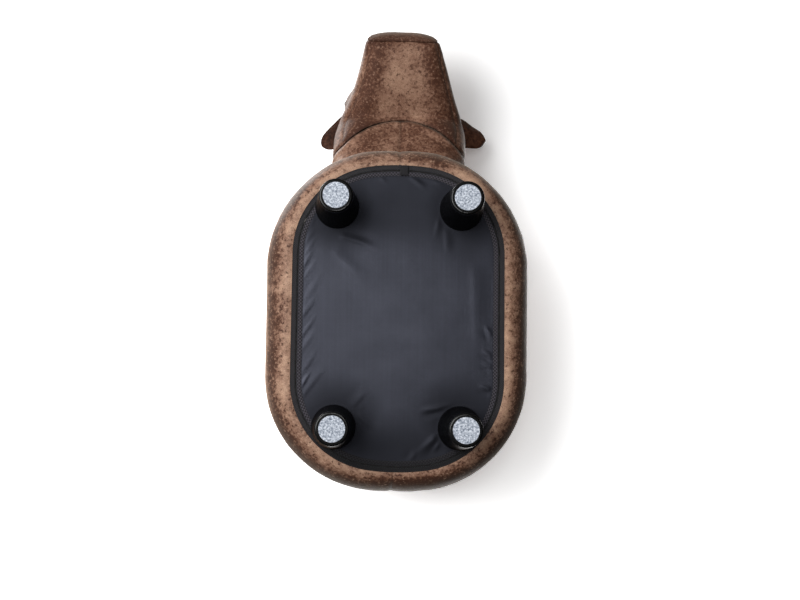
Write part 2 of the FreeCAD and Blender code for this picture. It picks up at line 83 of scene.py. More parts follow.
def bell(value, middle, reach):
    return math.exp(-((value - middle) / reach) ** 2)


def wave(a, b, seed):
    return noise.noise(Vector((a, b, seed)))


def tint(red, green, blue):
    def linear(value):
        value /= 255
        return value / 12.92 if value <= 0.04045 else ((value + 0.055) / 1.055) ** 2.4
    return (linear(red), linear(green), linear(blue), 1.0)


# Camera at the photograph's place: below the stool, looking up at its underside

photoView = {
    "place": (-0.0500, 0.2129, -1.4038),
    "turn": (-175.052, 2.061, -0.727),
    "lens": 49.55,
    "sensor": 36,
    "farthest": 30,
}
camera = bpy.data.objects.new("photoCamera", bpy.data.cameras.new("photoCamera"))
camera.location = photoView["place"]
camera.rotation_euler = [math.radians(angle) for angle in photoView["turn"]]
camera.data.lens = photoView["lens"]
camera.data.sensor_width = photoView["sensor"]
camera.data.clip_end = photoView["farthest"]
scene.collection.objects.link(camera)
scene.camera = camera
print("camera placed")


# Node helpers

def setInputs(tree, node, inputs):
    for key, value in inputs.items():
        if isinstance(value, bpy.types.NodeSocket):
            tree.links.new(value, node.inputs[key])
        else:
            node.inputs[key].default_value = value


def addNode(tree, kind, inputs=None, **settings):
    node = tree.nodes.new(kind)
    for key, value in settings.items():
        setattr(node, key, value)
    setInputs(tree, node, inputs or {})
    return node


def mathNode(tree, operation, first, second=0.0, clamp=False):
    node = addNode(tree, "ShaderNodeMath", {0: first, 1: second}, operation=operation, use_clamp=clamp)
    return node.outputs[0]


def mixColour(tree, factor, first, second):
    return addNode(tree, "ShaderNodeMix", {0: factor, 6: first, 7: second}, data_type="RGBA").outputs[2]


def ramp(tree, factor, stops):
    node = addNode(tree, "ShaderNodeValToRGB", {"Fac": factor})
    while len(node.color_ramp.elements) < len(stops):
        node.color_ramp.elements.new(0.5)
    for element, (position, colour) in zip(node.color_ramp.elements, stops):
        element.position = position
        element.color = colour
    return node.outputs["Color"]


def rangeNode(tree, value, low, high, newLow, newHigh):
    return addNode(tree, "ShaderNodeMapRange", {"Value": value, "From Min": low, "From Max": high,
                                                "To Min": newLow, "To Max": newHigh}).outputs["Result"]


def noiseNode(tree, place, scale, detail, roughness=0.5, distortion=0.0):
    node = addNode(tree, "ShaderNodeTexNoise", {"Vector": place, "Scale": scale, "Detail": detail,
                                                "Roughness": roughness, "Distortion": distortion})
    return node.outputs["Fac"]


def cellEdges(tree, place, scale, randomness):
    return addNode(tree, "ShaderNodeTexVoronoi", {"Vector": place, "Scale": scale, "Randomness": randomness},
                   feature="DISTANCE_TO_EDGE").outputs["Distance"]


def stretched(tree, place, factors):
    return addNode(tree, "ShaderNodeVectorMath", {0: place, 1: factors}, operation="MULTIPLY").outputs[0]


def partsOf(tree, place):
    return addNode(tree, "ShaderNodeSeparateXYZ", {"Vector": place}).outputs


def newGroup(name, values, results):
    tree = bpy.data.node_groups.new(name, "ShaderNodeTree")
    tree.interface.new_socket("Vector", in_out="INPUT", socket_type="NodeSocketVector")
    for label, value in values.items():
        socket = tree.interface.new_socket(label, in_out="INPUT", socket_type="NodeSocketFloat")
        socket.default_value = value
    for label in results:
        tree.interface.new_socket(label, in_out="OUTPUT", socket_type="NodeSocketFloat")
    return tree, tree.nodes.new("NodeGroupInput").outputs, tree.nodes.new("NodeGroupOutput")


def newMaterial(name):
    material = bpy.data.materials.new(name)
    material.use_nodes = True
    tree = material.node_tree
    return material, tree, tree.nodes["Principled BSDF"]


def useGroup(tree, group, inputs):
    return addNode(tree, "ShaderNodeGroup", inputs, node_tree=group).outputs


def objectPlace(tree):
    return addNode(tree, "ShaderNodeTexCoord").outputs["Object"]


def attributeOf(tree, name):
    return addNode(tree, "ShaderNodeAttribute", attribute_name=name).outputs["Fac"]


def bump(tree, height, strength, distance):
    node = addNode(tree, "ShaderNodeBump", {"Height": height, "Strength": strength, "Distance": distance})
    return node.outputs["Normal"]


# Stage: a pale floor seen from above, and a pale backdrop that the upturned stool lies on
# as the photograph shows it. Each is seen by the camera from its own side only.

stageLook = {
    "floorSize": 14.0,
    "floorZ": -0.0008,
    "backdropHalfWidth": 0.80,
    "backdropHalfLength": 0.62,
    "backdropGap": 0.0006,
    "glow": 0.03,
}
# how pale each stands near a spot, how pale far from it, and between which distances that changes; the floor
# is paler far out so it stays white, and the backdrop is darker round the spot where the head's shadow falls,
# a painted shadow, and paler beyond it, which paints light over the body's shadow
floorTone = {"spot": (0.0, 0.0), "near": 2.0, "far": 4.2, "reach": (0.9, 3.0)}
backdropShadowTone = {"spot": (0.095, -0.286), "near": 0.92, "far": 2.10, "reach": (0.035, 0.350)}


def stageMaterial(name, look):
    material, tree = newMaterial(name)[:2]
    tree.nodes.clear()
    lightPath = addNode(tree, "ShaderNodeLightPath").outputs
    back = addNode(tree, "ShaderNodeNewGeometry").outputs["Backfacing"]
    shown = mathNode(tree, "MULTIPLY", lightPath["Is Camera Ray"], mathNode(tree, "SUBTRACT", 1.0, back))
    flat = stretched(tree, objectPlace(tree), (1, 1, 0))
    away = addNode(tree, "ShaderNodeVectorMath", {0: flat, 1: (*look["spot"], 0)}, operation="DISTANCE")
    tone = rangeNode(tree, away.outputs["Value"], *look["reach"], look["near"], look["far"])
    grey = addNode(tree, "ShaderNodeCombineColor", {"Red": tone, "Green": tone, "Blue": tone}).outputs[0]
    pale = addNode(tree, "ShaderNodeBsdfDiffuse", {"Color": grey}).outputs[0]
    glow = addNode(tree, "ShaderNodeEmission", {"Strength": stageLook["glow"]}).outputs[0]
    both = addNode(tree, "ShaderNodeAddShader", {0: pale, 1: glow}).outputs[0]
    clear = addNode(tree, "ShaderNodeBsdfTransparent").outputs[0]
    choose = addNode(tree, "ShaderNodeMixShader", {"Fac": shown, 1: clear, 2: both}).outputs[0]
    addNode(tree, "ShaderNodeOutputMaterial", {"Surface": choose})
    return material


def stagePlane(name, look, centre, halfWidth, halfLength, facingUp):
    corners = [(-1, -1), (1, -1), (1, 1), (-1, 1)]
    points = [(centre.x + x * halfWidth, centre.y + y * halfLength, centre.z) for x, y in corners]
    mesh = bpy.data.meshes.new(name)
    mesh.from_pydata(points, [], [(0, 1, 2, 3) if facingUp else (3, 2, 1, 0)])
    plane = bpy.data.objects.new(name, mesh)
    scene.collection.objects.link(plane)
    mesh.materials.append(stageMaterial(name + "Pale", look))


bpy.context.view_layer.update()
sight = camera.rotation_euler.to_matrix() @ Vector((0, 0, -1))
backdropZ = cadBox[1].z + stageLook["backdropGap"]
sightEnd = camera.location + sight * ((backdropZ - camera.location.z) / sight.z)
stagePlane("floor", floorTone, Vector((0, 0, stageLook["floorZ"])), stageLook["floorSize"],
           stageLook["floorSize"], True)
stagePlane("backdrop", backdropShadowTone, sightEnd, stageLook["backdropHalfWidth"],
           stageLook["backdropHalfLength"], False)

# The room's own light: brightest from one side, dimmer in reflections, plain white to the camera
roomLook = {"bright": (-0.83, -0.50, -0.25), "focus": 3.0, "ambientBright": 1.55, "ambientDim": 0.02,
            "shineBright": 0.55, "shineDim": 0.03, "seen": 1.0}
world = bpy.data.worlds.new("paleRoom")
scene.world = world
world.use_nodes = True
roomTree = world.node_tree
roomPath = addNode(roomTree, "ShaderNodeLightPath").outputs
seen = mathNode(roomTree, "MAXIMUM", roomPath["Is Camera Ray"], roomPath["Is Transmission Ray"])
roomWay = addNode(roomTree, "ShaderNodeTexCoord").outputs["Generated"]
facing = addNode(roomTree, "ShaderNodeVectorMath", {0: roomWay, 1: roomLook["bright"]},
                 operation="DOT_PRODUCT").outputs["Value"]
towards = mathNode(roomTree, "POWER", rangeNode(roomTree, facing, -1, 1, 0, 1), roomLook["focus"])
ambient = rangeNode(roomTree, towards, 0, 1, roomLook["ambientDim"], roomLook["ambientBright"])
shine = rangeNode(roomTree, towards, 0, 1, roomLook["shineDim"], roomLook["shineBright"])
unseen = addNode(roomTree, "ShaderNodeMix", {0: roomPath["Is Glossy Ray"], 2: ambient, 3: shine}).outputs[0]
roomLight = addNode(roomTree, "ShaderNodeMix", {0: seen, 2: unseen, 3: roomLook["seen"]}).outputs[0]
setInputs(roomTree, roomTree.nodes["Background"], {"Color": (1, 1, 1, 1), "Strength": roomLight})

lamps = {
    "underKey": {"place": (-0.95, -0.30, -1.50), "aim": (0.0, 0.05, 0.12), "size": 1.2, "watts": 30.0},
    "underFill": {"place": (0.02, 0.00, -1.85), "aim": (0.0, 0.05, 0.15), "size": 0.45, "watts": 5.6},
    "overKey": {"place": (-1.35, -1.45, 1.95), "aim": (0.0, 0.0, 0.2), "size": 1.0, "watts": 42.0},
    "overFill": {"place": (1.15, -0.35, 2.30), "aim": (0.0, 0.0, 0.2), "size": 1.2, "watts": 26.0},
    "overBack": {"place": (0.25, 1.45, 2.40), "aim": (0.0, 0.1, 0.2), "size": 1.2, "watts": 27.0},
}
for lampName, lampLook in lamps.items():
    lampData = bpy.data.lights.new(lampName, "AREA")
    lampData.size = lampLook["size"]
    lampData.energy = lampLook["watts"]
    lamp = bpy.data.objects.new(lampName, lampData)
    lamp.location = lampLook["place"]
    aim = Vector(lampLook["aim"]) - lamp.location
    lamp.rotation_euler = aim.to_track_quat("-Z", "Y").to_euler()
    scene.collection.objects.link(lamp)
print("stage and lamps ready")


# Shared surface effects

# pairs are the two values between which an effect fades in
hideGrain = {
    "blotch": (0.3, 0.7), "broadDepth": 0.22, "cloudDepth": 0.16, "cloudFiner": 5.5, "cloudHeight": 0.9,
    "fleck": (0.64, 0.75), "fleckThin": 0.32, "pale": (0.41, 0.33), "paleThin": 0.06,
    "crack": (0.16, 0.03), "crackThin": (0.42, 0.70), "crackDepth": 0.95,
    "pebble": (0.0, 0.32), "pebbleHeight": 0.6, "pore": (0.20, 0.02),
}


def makeMottledHide():
    grain = hideGrain
    tree, given, made = newGroup(
        "mottledHide",
        {"Blotch Scale": 16.0, "Fleck Scale": 240.0, "Grain Scale": 440.0, "Rub And Light": 0.0, "Speckle": 0.6,
         "Blotch Depth": 1.0, "Crackle Scale": 205.0},
        ["Tone", "Flecks", "Pale Flecks", "Pores", "Height"])
    place = given["Vector"]
    broad = noiseNode(tree, place, given["Blotch Scale"], 5.0, 0.62, 0.35)
    cloudScale = mathNode(tree, "MULTIPLY", given["Blotch Scale"], grain["cloudFiner"])
    cloud = noiseNode(tree, place, cloudScale, 6.0, 0.68)
    broadTone = rangeNode(tree, broad, *grain["blotch"], -grain["broadDepth"], grain["broadDepth"])
    cloudTone = rangeNode(tree, cloud, *grain["blotch"], -grain["cloudDepth"], grain["cloudDepth"])
    blotches = mathNode(tree, "ADD", broadTone, cloudTone)
    blotches = mathNode(tree, "MULTIPLY", blotches, given["Blotch Depth"])
    tone = mathNode(tree, "ADD", mathNode(tree, "ADD", 0.5, blotches), given["Rub And Light"], clamp=True)
    thin = mathNode(tree, "SUBTRACT", 1.0, tone)
    # dark flecks gather where the finish is rubbed thin, and join into cracks where it is thinnest
    fleck = noiseNode(tree, place, given["Fleck Scale"], 4.0, 0.68, 0.4)
    darker = mathNode(tree, "ADD", fleck, mathNode(tree, "MULTIPLY", thin, grain["fleckThin"]))
    gate = rangeNode(tree, darker, *grain["fleck"], 0.0, 1.0)
    crackle = cellEdges(tree, place, given["Crackle Scale"], 0.9)
    cracks = mathNode(tree, "MULTIPLY", rangeNode(tree, crackle, *grain["crack"], 0.0, 1.0),
                      rangeNode(tree, thin, *grain["crackThin"], 0.0, grain["crackDepth"]))
    flecks = mathNode(tree, "MULTIPLY", mathNode(tree, "MAXIMUM", gate, cracks), given["Speckle"])
    paler = mathNode(tree, "SUBTRACT", fleck, mathNode(tree, "MULTIPLY", thin, grain["paleThin"]))
    paleGate = rangeNode(tree, paler, *grain["pale"], 0.0, 1.0)
    paleFlecks = mathNode(tree, "MULTIPLY", paleGate, given["Speckle"])
    pebble = cellEdges(tree, place, given["Grain Scale"], 0.95)
    pebbles = rangeNode(tree, pebble, *grain["pebble"], 0.0, 1.0)
    height = mathNode(tree, "ADD", mathNode(tree, "MULTIPLY", pebbles, grain["pebbleHeight"]),
                      mathNode(tree, "MULTIPLY", cloud, grain["cloudHeight"]))
    setInputs(tree, made, {"Tone": tone, "Flecks": flecks, "Pale Flecks": paleFlecks, "Height": height,
                           "Pores": rangeNode(tree, pebble, *grain["pore"], 0.0, 1.0)})
    return tree


def makeClothWeave():
    tree, given, made = newGroup("clothWeave", {"Pitch": 0.0006, "Slub": 0.25}, ["Height", "Shade"])
    parts = partsOf(tree, given["Vector"])
    turns = mathNode(tree, "DIVIDE", 2 * math.pi, given["Pitch"])
    warp = mathNode(tree, "SINE", mathNode(tree, "MULTIPLY", parts["X"], turns))
    weft = mathNode(tree, "SINE", mathNode(tree, "MULTIPLY", parts["Y"], turns))
    over = mathNode(tree, "MULTIPLY", warp, weft)
    slubs = noiseNode(tree, stretched(tree, given["Vector"], (300.0, 7.0, 7.0)), 1.0, 2.0)
    height = mathNode(tree, "ADD", rangeNode(tree, over, -1, 1, 0, 1),
                      mathNode(tree, "MULTIPLY", slubs, given["Slub"]))
    setInputs(tree, made, {"Height": height, "Shade": rangeNode(tree, height, 0.0, 1.3, 0.0, 1.0)})
    return tree


def makeWornEdge():
    tree, given, made = newGroup("wornEdge", {"Edge": 0.0, "Scale": 300.0, "Ragged": 0.5}, ["Wear"])
    ragged = noiseNode(tree, given["Vector"], given["Scale"], 4.0)
    drop = mathNode(tree, "MULTIPLY", mathNode(tree, "SUBTRACT", ragged, 0.5), given["Ragged"])
    setInputs(tree, made, {"Wear": mathNode(tree, "ADD", given["Edge"], drop, clamp=True)})
    return tree


mottledHide = makeMottledHide()
clothWeave = makeClothWeave()
wornEdge = makeWornEdge()


# Finishes

brownStops = [(0.08, tint(66, 38, 26)), (0.36, tint(102, 68, 51)), (0.60, tint(130, 97, 79)),
              (0.92, tint(176, 142, 118))]
darkStops = [(0.08, tint(26, 13, 8)), (0.40, tint(48, 27, 18)), (0.62, tint(70, 42, 30)),
             (0.95, tint(104, 70, 52))]
hideLook = {
    "leatherBrown": {"stops": brownStops, "fleck": tint(60, 33, 21), "pale": tint(182, 150, 126),
                     "speckle": 0.92, "blotchScale": 17.0, "blotchDepth": 1.0, "rough": 0.56, "gloss": 0.20},
    "leatherHead": {"stops": brownStops, "fleck": tint(64, 37, 26), "pale": tint(164, 132, 112),
                    "speckle": 0.82, "blotchScale": 15.0, "blotchDepth": 0.62, "rough": 0.58, "gloss": 0.12},
    "leatherDark": {"stops": darkStops, "fleck": tint(24, 12, 8), "pale": tint(112, 76, 56),
                    "speckle": 0.55, "blotchScale": 24.0, "blotchDepth": 1.0, "rough": 0.58, "gloss": 0.08},
}
# seamDirt is dirt in the seams and also painted shade in the neck's crease under the head
hideShare = {
    "pale": 0.55, "pores": 0.30, "seamDirt": tint(34, 21, 15), "dirtScale": 240.0, "dirtRagged": 0.35,
    "roughSwing": 0.09, "sheen": 1.4, "sheenRough": 0.45, "sheenTint": tint(208, 197, 180),
    "bump": 0.32, "bumpDepth": 0.0007,
}


def hideMaterial(name):
    look = hideLook[name]
    material, tree, shader = newMaterial(name)
    place = objectPlace(tree)
    # the rub attribute carries the leather's wear and, on the roll, jaw, neck and ears, painted highlight and
    # painted shade
    hide = useGroup(tree, mottledHide, {"Vector": place, "Blotch Scale": look["blotchScale"],
                                        "Rub And Light": attributeOf(tree, "rubAndLight"), "Speckle": look["speckle"],
                                        "Blotch Depth": look["blotchDepth"]})
    pale = mathNode(tree, "MULTIPLY", hide["Pale Flecks"], hideShare["pale"])
    pores = mathNode(tree, "MULTIPLY", hide["Pores"], hideShare["pores"])
    colour = ramp(tree, hide["Tone"], look["stops"])
    colour = mixColour(tree, pale, colour, look["pale"])
    colour = mixColour(tree, hide["Flecks"], colour, look["fleck"])
    colour = mixColour(tree, pores, colour, look["fleck"])
    # the groove attribute darkens to the seam dirt colour: dirt in the seams, and painted shade in the neck's
    # crease under the head
    seamDirt = useGroup(tree, wornEdge, {"Vector": place, "Edge": attributeOf(tree, "groove"),
                                         "Scale": hideShare["dirtScale"], "Ragged": hideShare["dirtRagged"]})
    rough, swing = look["rough"], hideShare["roughSwing"]
    setInputs(tree, shader, {
        "Base Color": mixColour(tree, seamDirt["Wear"], colour, hideShare["seamDirt"]),
        "Roughness": rangeNode(tree, hide["Tone"], 0.1, 0.9, rough + swing, rough - swing),
        "Specular IOR Level": look["gloss"],
        "Sheen Weight": look["gloss"] * hideShare["sheen"],
        "Sheen Roughness": hideShare["sheenRough"],
        "Sheen Tint": hideShare["sheenTint"],
        "Normal": bump(tree, hide["Height"], hideShare["bump"], hideShare["bumpDepth"]),
    })
    return material


def threadMaterial(name, light, dark):
    material, tree, shader = newMaterial(name)
    twist = noiseNode(tree, objectPlace(tree), 1400.0, 2.0)
    setInputs(tree, shader, {"Base Color": mixColour(tree, twist, light, dark),
                             "Roughness": rangeNode(tree, twist, 0, 1, 0.45, 0.7),
                             "Normal": bump(tree, twist, 0.3, 0.0002)})
    return material


nylonFinish = {
    "pitch": 0.0009, "slub": 0.8, "grid": 82.0, "ridge": 0.12, "ridgeHalf": 0.06, "shadeTint": tint(6, 6, 8),
    "stops": [(0.0, tint(6, 6, 8)), (0.7, tint(11, 11, 15)), (1.0, tint(24, 24, 31))],
    "hazeScale": 22.0, "rough": (0.29, 0.35), "shadeRough": 0.34, "gloss": 0.38,
    "glossTint": tint(226, 231, 255), "bump": 0.10, "bumpDepth": 0.0003,
}


def nylonMaterial():
    look = nylonFinish
    material, tree, shader = newMaterial("baseNylon")
    place = objectPlace(tree)
    weave = useGroup(tree, clothWeave, {"Vector": place, "Pitch": look["pitch"], "Slub": look["slub"]})
    # thicker threads stand in a square grid, as in ripstop
    lines = partsOf(tree, stretched(tree, place, (look["grid"], look["grid"], 0.0)))
    ridges = 0.0
    for axis in ("X", "Y"):
        away = mathNode(tree, "SUBTRACT", mathNode(tree, "FRACT", lines[axis]), 0.5)
        ridge = rangeNode(tree, mathNode(tree, "ABSOLUTE", away), 0.0, look["ridgeHalf"], look["ridge"], 0.0)
        ridges = mathNode(tree, "MAXIMUM", ridges, ridge)
    tone = mathNode(tree, "ADD", weave["Shade"], ridges, clamp=True)
    shade = attributeOf(tree, "shade")
    haze = rangeNode(tree, noiseNode(tree, place, look["hazeScale"], 3.0), 0.3, 0.7, *look["rough"])
    height = mathNode(tree, "ADD", weave["Height"], ridges)
    setInputs(tree, shader, {
        "Base Color": mixColour(tree, shade, ramp(tree, tone, look["stops"]), look["shadeTint"]),
        "Roughness": mathNode(tree, "ADD", haze, mathNode(tree, "MULTIPLY", shade, look["shadeRough"])),
        "Specular IOR Level": look["gloss"],
        "Specular Tint": look["glossTint"],
        "Normal": bump(tree, height, look["bump"], look["bumpDepth"]),
    })
    return material


tapeFinish = {
    "slub": 0.15, "zigzag": 0.0016, "slant": 5200.0, "weaveShare": 0.8, "slantShare": 0.25,
    "dark": 0.25, "light": 0.85, "rough": (0.85, 0.65), "gloss": 0.25, "bump": 0.5, "bumpDepth": 0.0005,
}


def tapeMaterial(name, light, dark, pitch):
    look = tapeFinish
    material, tree, shader = newMaterial(name)
    uv = addNode(tree, "ShaderNodeUVMap", uv_map="weaveMap").outputs["UV"]
    weave = useGroup(tree, clothWeave, {"Vector": uv, "Pitch": pitch, "Slub": look["slub"]})
    parts = partsOf(tree, uv)
    zigzag = mathNode(tree, "ADD", parts["X"], mathNode(tree, "PINGPONG", parts["Y"], look["zigzag"]))
    slant = mathNode(tree, "SINE", mathNode(tree, "MULTIPLY", zigzag, look["slant"]))
    tone = mathNode(tree, "ADD", mathNode(tree, "MULTIPLY", weave["Shade"], look["weaveShare"]),
                    rangeNode(tree, slant, -1, 1, 0, look["slantShare"]))
    colour = ramp(tree, tone, [(look["dark"], dark), (look["light"], light)])
    setInputs(tree, shader, {
        "Base Color": mixColour(tree, attributeOf(tree, "shade"), colour, dark),
        "Roughness": rangeNode(tree, tone, 0, 1, *look["rough"]),
        "Specular IOR Level": look["gloss"],
        "Normal": bump(tree, tone, look["bump"], look["bumpDepth"]),
    })
    return material


footFinish = {
    "scuffScale": 120.0, "scuff": (0.62, 0.75), "scuffDepth": 0.5, "wearScale": 900.0, "ragged": 0.4,
    "ring": (0.0075, 0.0110), "ringCoat": 0.55, "coatRough": 0.10, "hazeScale": 70.0,
    "rough": (0.38, 0.44), "gloss": 0.04, "black": tint(2, 2, 2), "worn": tint(5, 5, 5),
}


def footMaterial():
    look = footFinish
    material, tree, shader = newMaterial("footBlack")
    place = objectPlace(tree)
    scuffs = noiseNode(tree, place, look["scuffScale"], 5.0)
    haze = noiseNode(tree, place, look["hazeScale"], 4.0)
    scuff = rangeNode(tree, scuffs, *look["scuff"], 0, look["scuffDepth"])
    worn = useGroup(tree, wornEdge, {"Vector": place, "Edge": scuff, "Scale": look["wearScale"],
                                     "Ragged": look["ragged"]})
    setInputs(tree, shader, {
        "Base Color": mixColour(tree, worn["Wear"], look["black"], look["worn"]),
        "Roughness": rangeNode(tree, haze, 0.3, 0.7, *look["rough"]),
        # a polished ring round the end of the foot
        "Coat Weight": rangeNode(tree, partsOf(tree, place)["Z"], *look["ring"], look["ringCoat"], 0.0),
        "Coat Roughness": look["coatRough"],
        "Specular IOR Level": look["gloss"],
    })
    return material


feltFinish = {
    "fibreScale": 760.0, "fibreShare": 0.45, "clumpScale": 360.0, "clumpShare": 0.55,
    "stops": [(0.39, tint(84, 92, 106)), (0.5, tint(158, 165, 176)), (0.58, tint(212, 217, 225))],
    "fleckScale": 640.0, "fleck": (0.05, 0.22), "fleckDepth": 0.5, "fleckTint": tint(104, 114, 132),
    "rough": (0.85, 1.0), "gloss": 0.1, "bump": 0.6, "bumpDepth": 0.0009,
}


def feltMaterial():
    look = feltFinish
    material, tree, shader = newMaterial("feltGrey")
    place = objectPlace(tree)
    fibres = noiseNode(tree, place, look["fibreScale"], 4.0, 0.7, 1.2)
    clumps = noiseNode(tree, place, look["clumpScale"], 3.0, 0.6)
    mottle = mathNode(tree, "ADD", mathNode(tree, "MULTIPLY", fibres, look["fibreShare"]),
                      mathNode(tree, "MULTIPLY", clumps, look["clumpShare"]))
    cells = addNode(tree, "ShaderNodeTexVoronoi", {"Vector": place, "Scale": look["fleckScale"]})
    dark = rangeNode(tree, cells.outputs["Distance"], *look["fleck"], look["fleckDepth"], 0.0)
    setInputs(tree, shader, {
        "Base Color": mixColour(tree, dark, ramp(tree, mottle, look["stops"]), look["fleckTint"]),
        "Roughness": rangeNode(tree, fibres, 0, 1, *look["rough"]),
        "Specular IOR Level": look["gloss"],
        "Normal": bump(tree, fibres, look["bump"], look["bumpDepth"]),
    })
    return material


def metalMaterial(name, light, dark, rough):
    material, tree, shader = newMaterial(name)
    place = objectPlace(tree)
    stains = noiseNode(tree, place, 150.0, 4.0)
    worn = useGroup(tree, wornEdge, {"Vector": place, "Edge": rangeNode(tree, stains, 0.45, 0.7, 0, 1),
                                     "Scale": 700.0, "Ragged": 0.6})
    setInputs(tree, shader, {
        "Base Color": mixColour(tree, worn["Wear"], light, dark),
        "Roughness": rangeNode(tree, stains, 0.3, 0.7, rough - 0.08, rough + 0.1),
        "Metallic": 1.0,
    })
    return material


def pineMaterial():
    material, tree, shader = newMaterial("pineBoard")
    grain = stretched(tree, objectPlace(tree), (16.0, 2.2, 16.0))
    rings = addNode(tree, "ShaderNodeTexWave", {"Vector": grain, "Scale": 3.2, "Distortion": 5.0,
                                                "Detail": 3.0}).outputs["Fac"]
    setInputs(tree, shader, {
        "Base Color": ramp(tree, rings, [(0.1, tint(206, 168, 118)), (0.9, tint(176, 132, 84))]),
        "Roughness": rangeNode(tree, rings, 0, 1, 0.55, 0.7),
        "Normal": bump(tree, rings, 0.1, 0.0004),
    })
    return material


def eyeMaterial():
    material, tree, shader = newMaterial("eyeGloss")
    depth = noiseNode(tree, objectPlace(tree), 180.0, 2.0)
    setInputs(tree, shader, {
        "Base Color": ramp(tree, depth, [(0.3, tint(8, 5, 4)), (0.8, tint(26, 15, 10))]),
        "Roughness": rangeNode(tree, depth, 0, 1, 0.06, 0.12),
    })
    return material


def plasticMaterial(name, light, dark):
    material, tree, shader = newMaterial(name)
    grain = noiseNode(tree, objectPlace(tree), 900.0, 3.0)
    setInputs(tree, shader, {"Base Color": mixColour(tree, grain, light, dark),
                             "Roughness": rangeNode(tree, grain, 0, 1, 0.35, 0.5)})
    return material


leatherBrown = hideMaterial("leatherBrown")
leatherHead = hideMaterial("leatherHead")
leatherDark = hideMaterial("leatherDark")
threadBrown = threadMaterial("threadBrown", tint(120, 90, 68), tint(70, 46, 33))
threadBlack = threadMaterial("threadBlack", tint(40, 40, 44), tint(14, 14, 16))
baseNylon = nylonMaterial()
tapePlain = tapeMaterial("tapePlain", tint(60, 57, 60), tint(6, 6, 8), 0.0026)
tapeDotted = tapeMaterial("tapeDotted", tint(78, 74, 82), tint(3, 3, 5), 0.0046)
tabCloth = tapeMaterial("tabCloth", tint(44, 42, 45), tint(10, 10, 12), 0.0018)
footBlack = footMaterial()
feltGrey = feltMaterial()
steelPlain = metalMaterial("steelPlain", tint(190, 190, 188), tint(120, 116, 110), 0.34)
sliderMetal = metalMaterial("sliderMetal", tint(64, 62, 62), tint(30, 29, 30), 0.32)
pineBoard = pineMaterial()
eyeGloss = eyeMaterial()
coilNylon = plasticMaterial("coilNylon", tint(14, 14, 16), tint(6, 6, 7))
print("materials ready")

# CAD pieces that stay as they are get a finish, by name or by the first letters of the name
keptFinishes = {
    "foot_": footBlack, "felt_": feltGrey, "base_board": pineBoard, "frame_posts": pineBoard,
    "top_board": pineBoard, "neck_plate": pineBoard, "neck_spar": pineBoard, "foot_bolts": steelPlain,
    "leg_t_nuts": steelPlain, "frame_screws": steelPlain, "neck_screws": steelPlain,
    "zip_slider": sliderMetal, "eye_left": eyeGloss, "eye_right": eyeGloss, "eye_washers": coilNylon,
}
for nodeName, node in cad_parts.items():
    finish = keptFinishes.get(nodeName) or keptFinishes.get(nodeName[:5])
    if finish:
        if not node.material_slots:
            node.data.materials.append(finish)
        for materialSlot in node.material_slots:
            materialSlot.material = finish


# Mesh helpers

def addPiece(name, points, faces, masks=None, uv=None):
    mesh = bpy.data.meshes.new(name)
    mesh.from_pydata(points, [], faces)
    mesh.update()
    for key, values in (masks or {}).items():
        mesh.attributes.new(key, "FLOAT", "POINT").data.foreach_set("value", values)
    if uv:
        layer = mesh.uv_layers.new(name="weaveMap")
        for loop in mesh.loops:
            layer.data[loop.index].uv = uv[loop.vertex_index]
    mesh.shade_smooth()
    piece = bpy.data.objects.new(name, mesh)
    scene.collection.objects.link(piece)
    return piece


def gridFaces(rowCount, columnCount, flip=False, wrap=False, start=0):
    faces = []
    for row in range(rowCount - 1):
        first = start + row * columnCount
        second = first + columnCount
        for column in range(columnCount if wrap else columnCount - 1):
            after = (column + 1) % columnCount
            face = (first + column, first + after, second + after, second + column)
            faces.append(face[::-1] if flip else face)
    return faces


def settle(piece, sharpAngle=50):
    made = bpy.data.meshes.new_from_object(piece.evaluated_get(bpy.context.evaluated_depsgraph_get()))
    piece.modifiers.clear()
    spare, piece.data = piece.data, made
    bpy.data.meshes.remove(spare)
    made.set_sharp_from_angle(angle=math.radians(sharpAngle))


def thicken(piece, thickness, material):
    wall = piece.modifiers.new("wall", "SOLIDIFY")
    wall.thickness = thickness
    wall.offset = -1
    piece.data.materials.append(material)
    settle(piece)


def finishPiece(piece, slotName, *nodeNames):
    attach(piece, "stool")
    if nodeNames:
        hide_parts(*nodeNames)


def edgeGaps(rows):
    # how far each point of a grid lies from its first row and from its first column
    rowCount, columnCount = len(rows), len(rows[0])
    down = [[0.0] * columnCount for row in rows]
    across = [[0.0] * columnCount for row in rows]
    for i in range(rowCount):
        for j in range(columnCount):
            if i:
                down[i][j] = down[i - 1][j] + (rows[i][j] - rows[i - 1][j]).length
            if j:
                across[i][j] = across[i][j - 1] + (rows[i][j] - rows[i][j - 1]).length
    return down, across


def gridNormal(rows, i, j, wrap=False):
    count = len(rows[0])
    after = rows[i][(j + 1) % count] if wrap else rows[i][min(j + 1, count - 1)]
    before = rows[i][(j - 1) % count] if wrap else rows[i][max(j - 1, 0)]
    rise = rows[min(i + 1, len(rows) - 1)][j] - rows[max(i - 1, 0)][j]
    return (after - before).cross(rise).normalized()


# How padded leather behaves at a seam: it dives in, puffs up beside it and puckers along it
leatherLook = {
    "dive": 0.0024, "diveReach": 0.0050, "puff": 0.0018, "puffReach": 0.016,
    "pucker": 0.0009, "puckerReach": 0.014, "puckerPitch": 0.010, "puckerDrift": 22,
    "soft": 0.0007, "softPitch": 0.085, "fine": 0.0003, "finePitch": 0.022,
    "thickness": 0.0022, "threadGap": 0.0065, "threadLift": 0.0002,
}


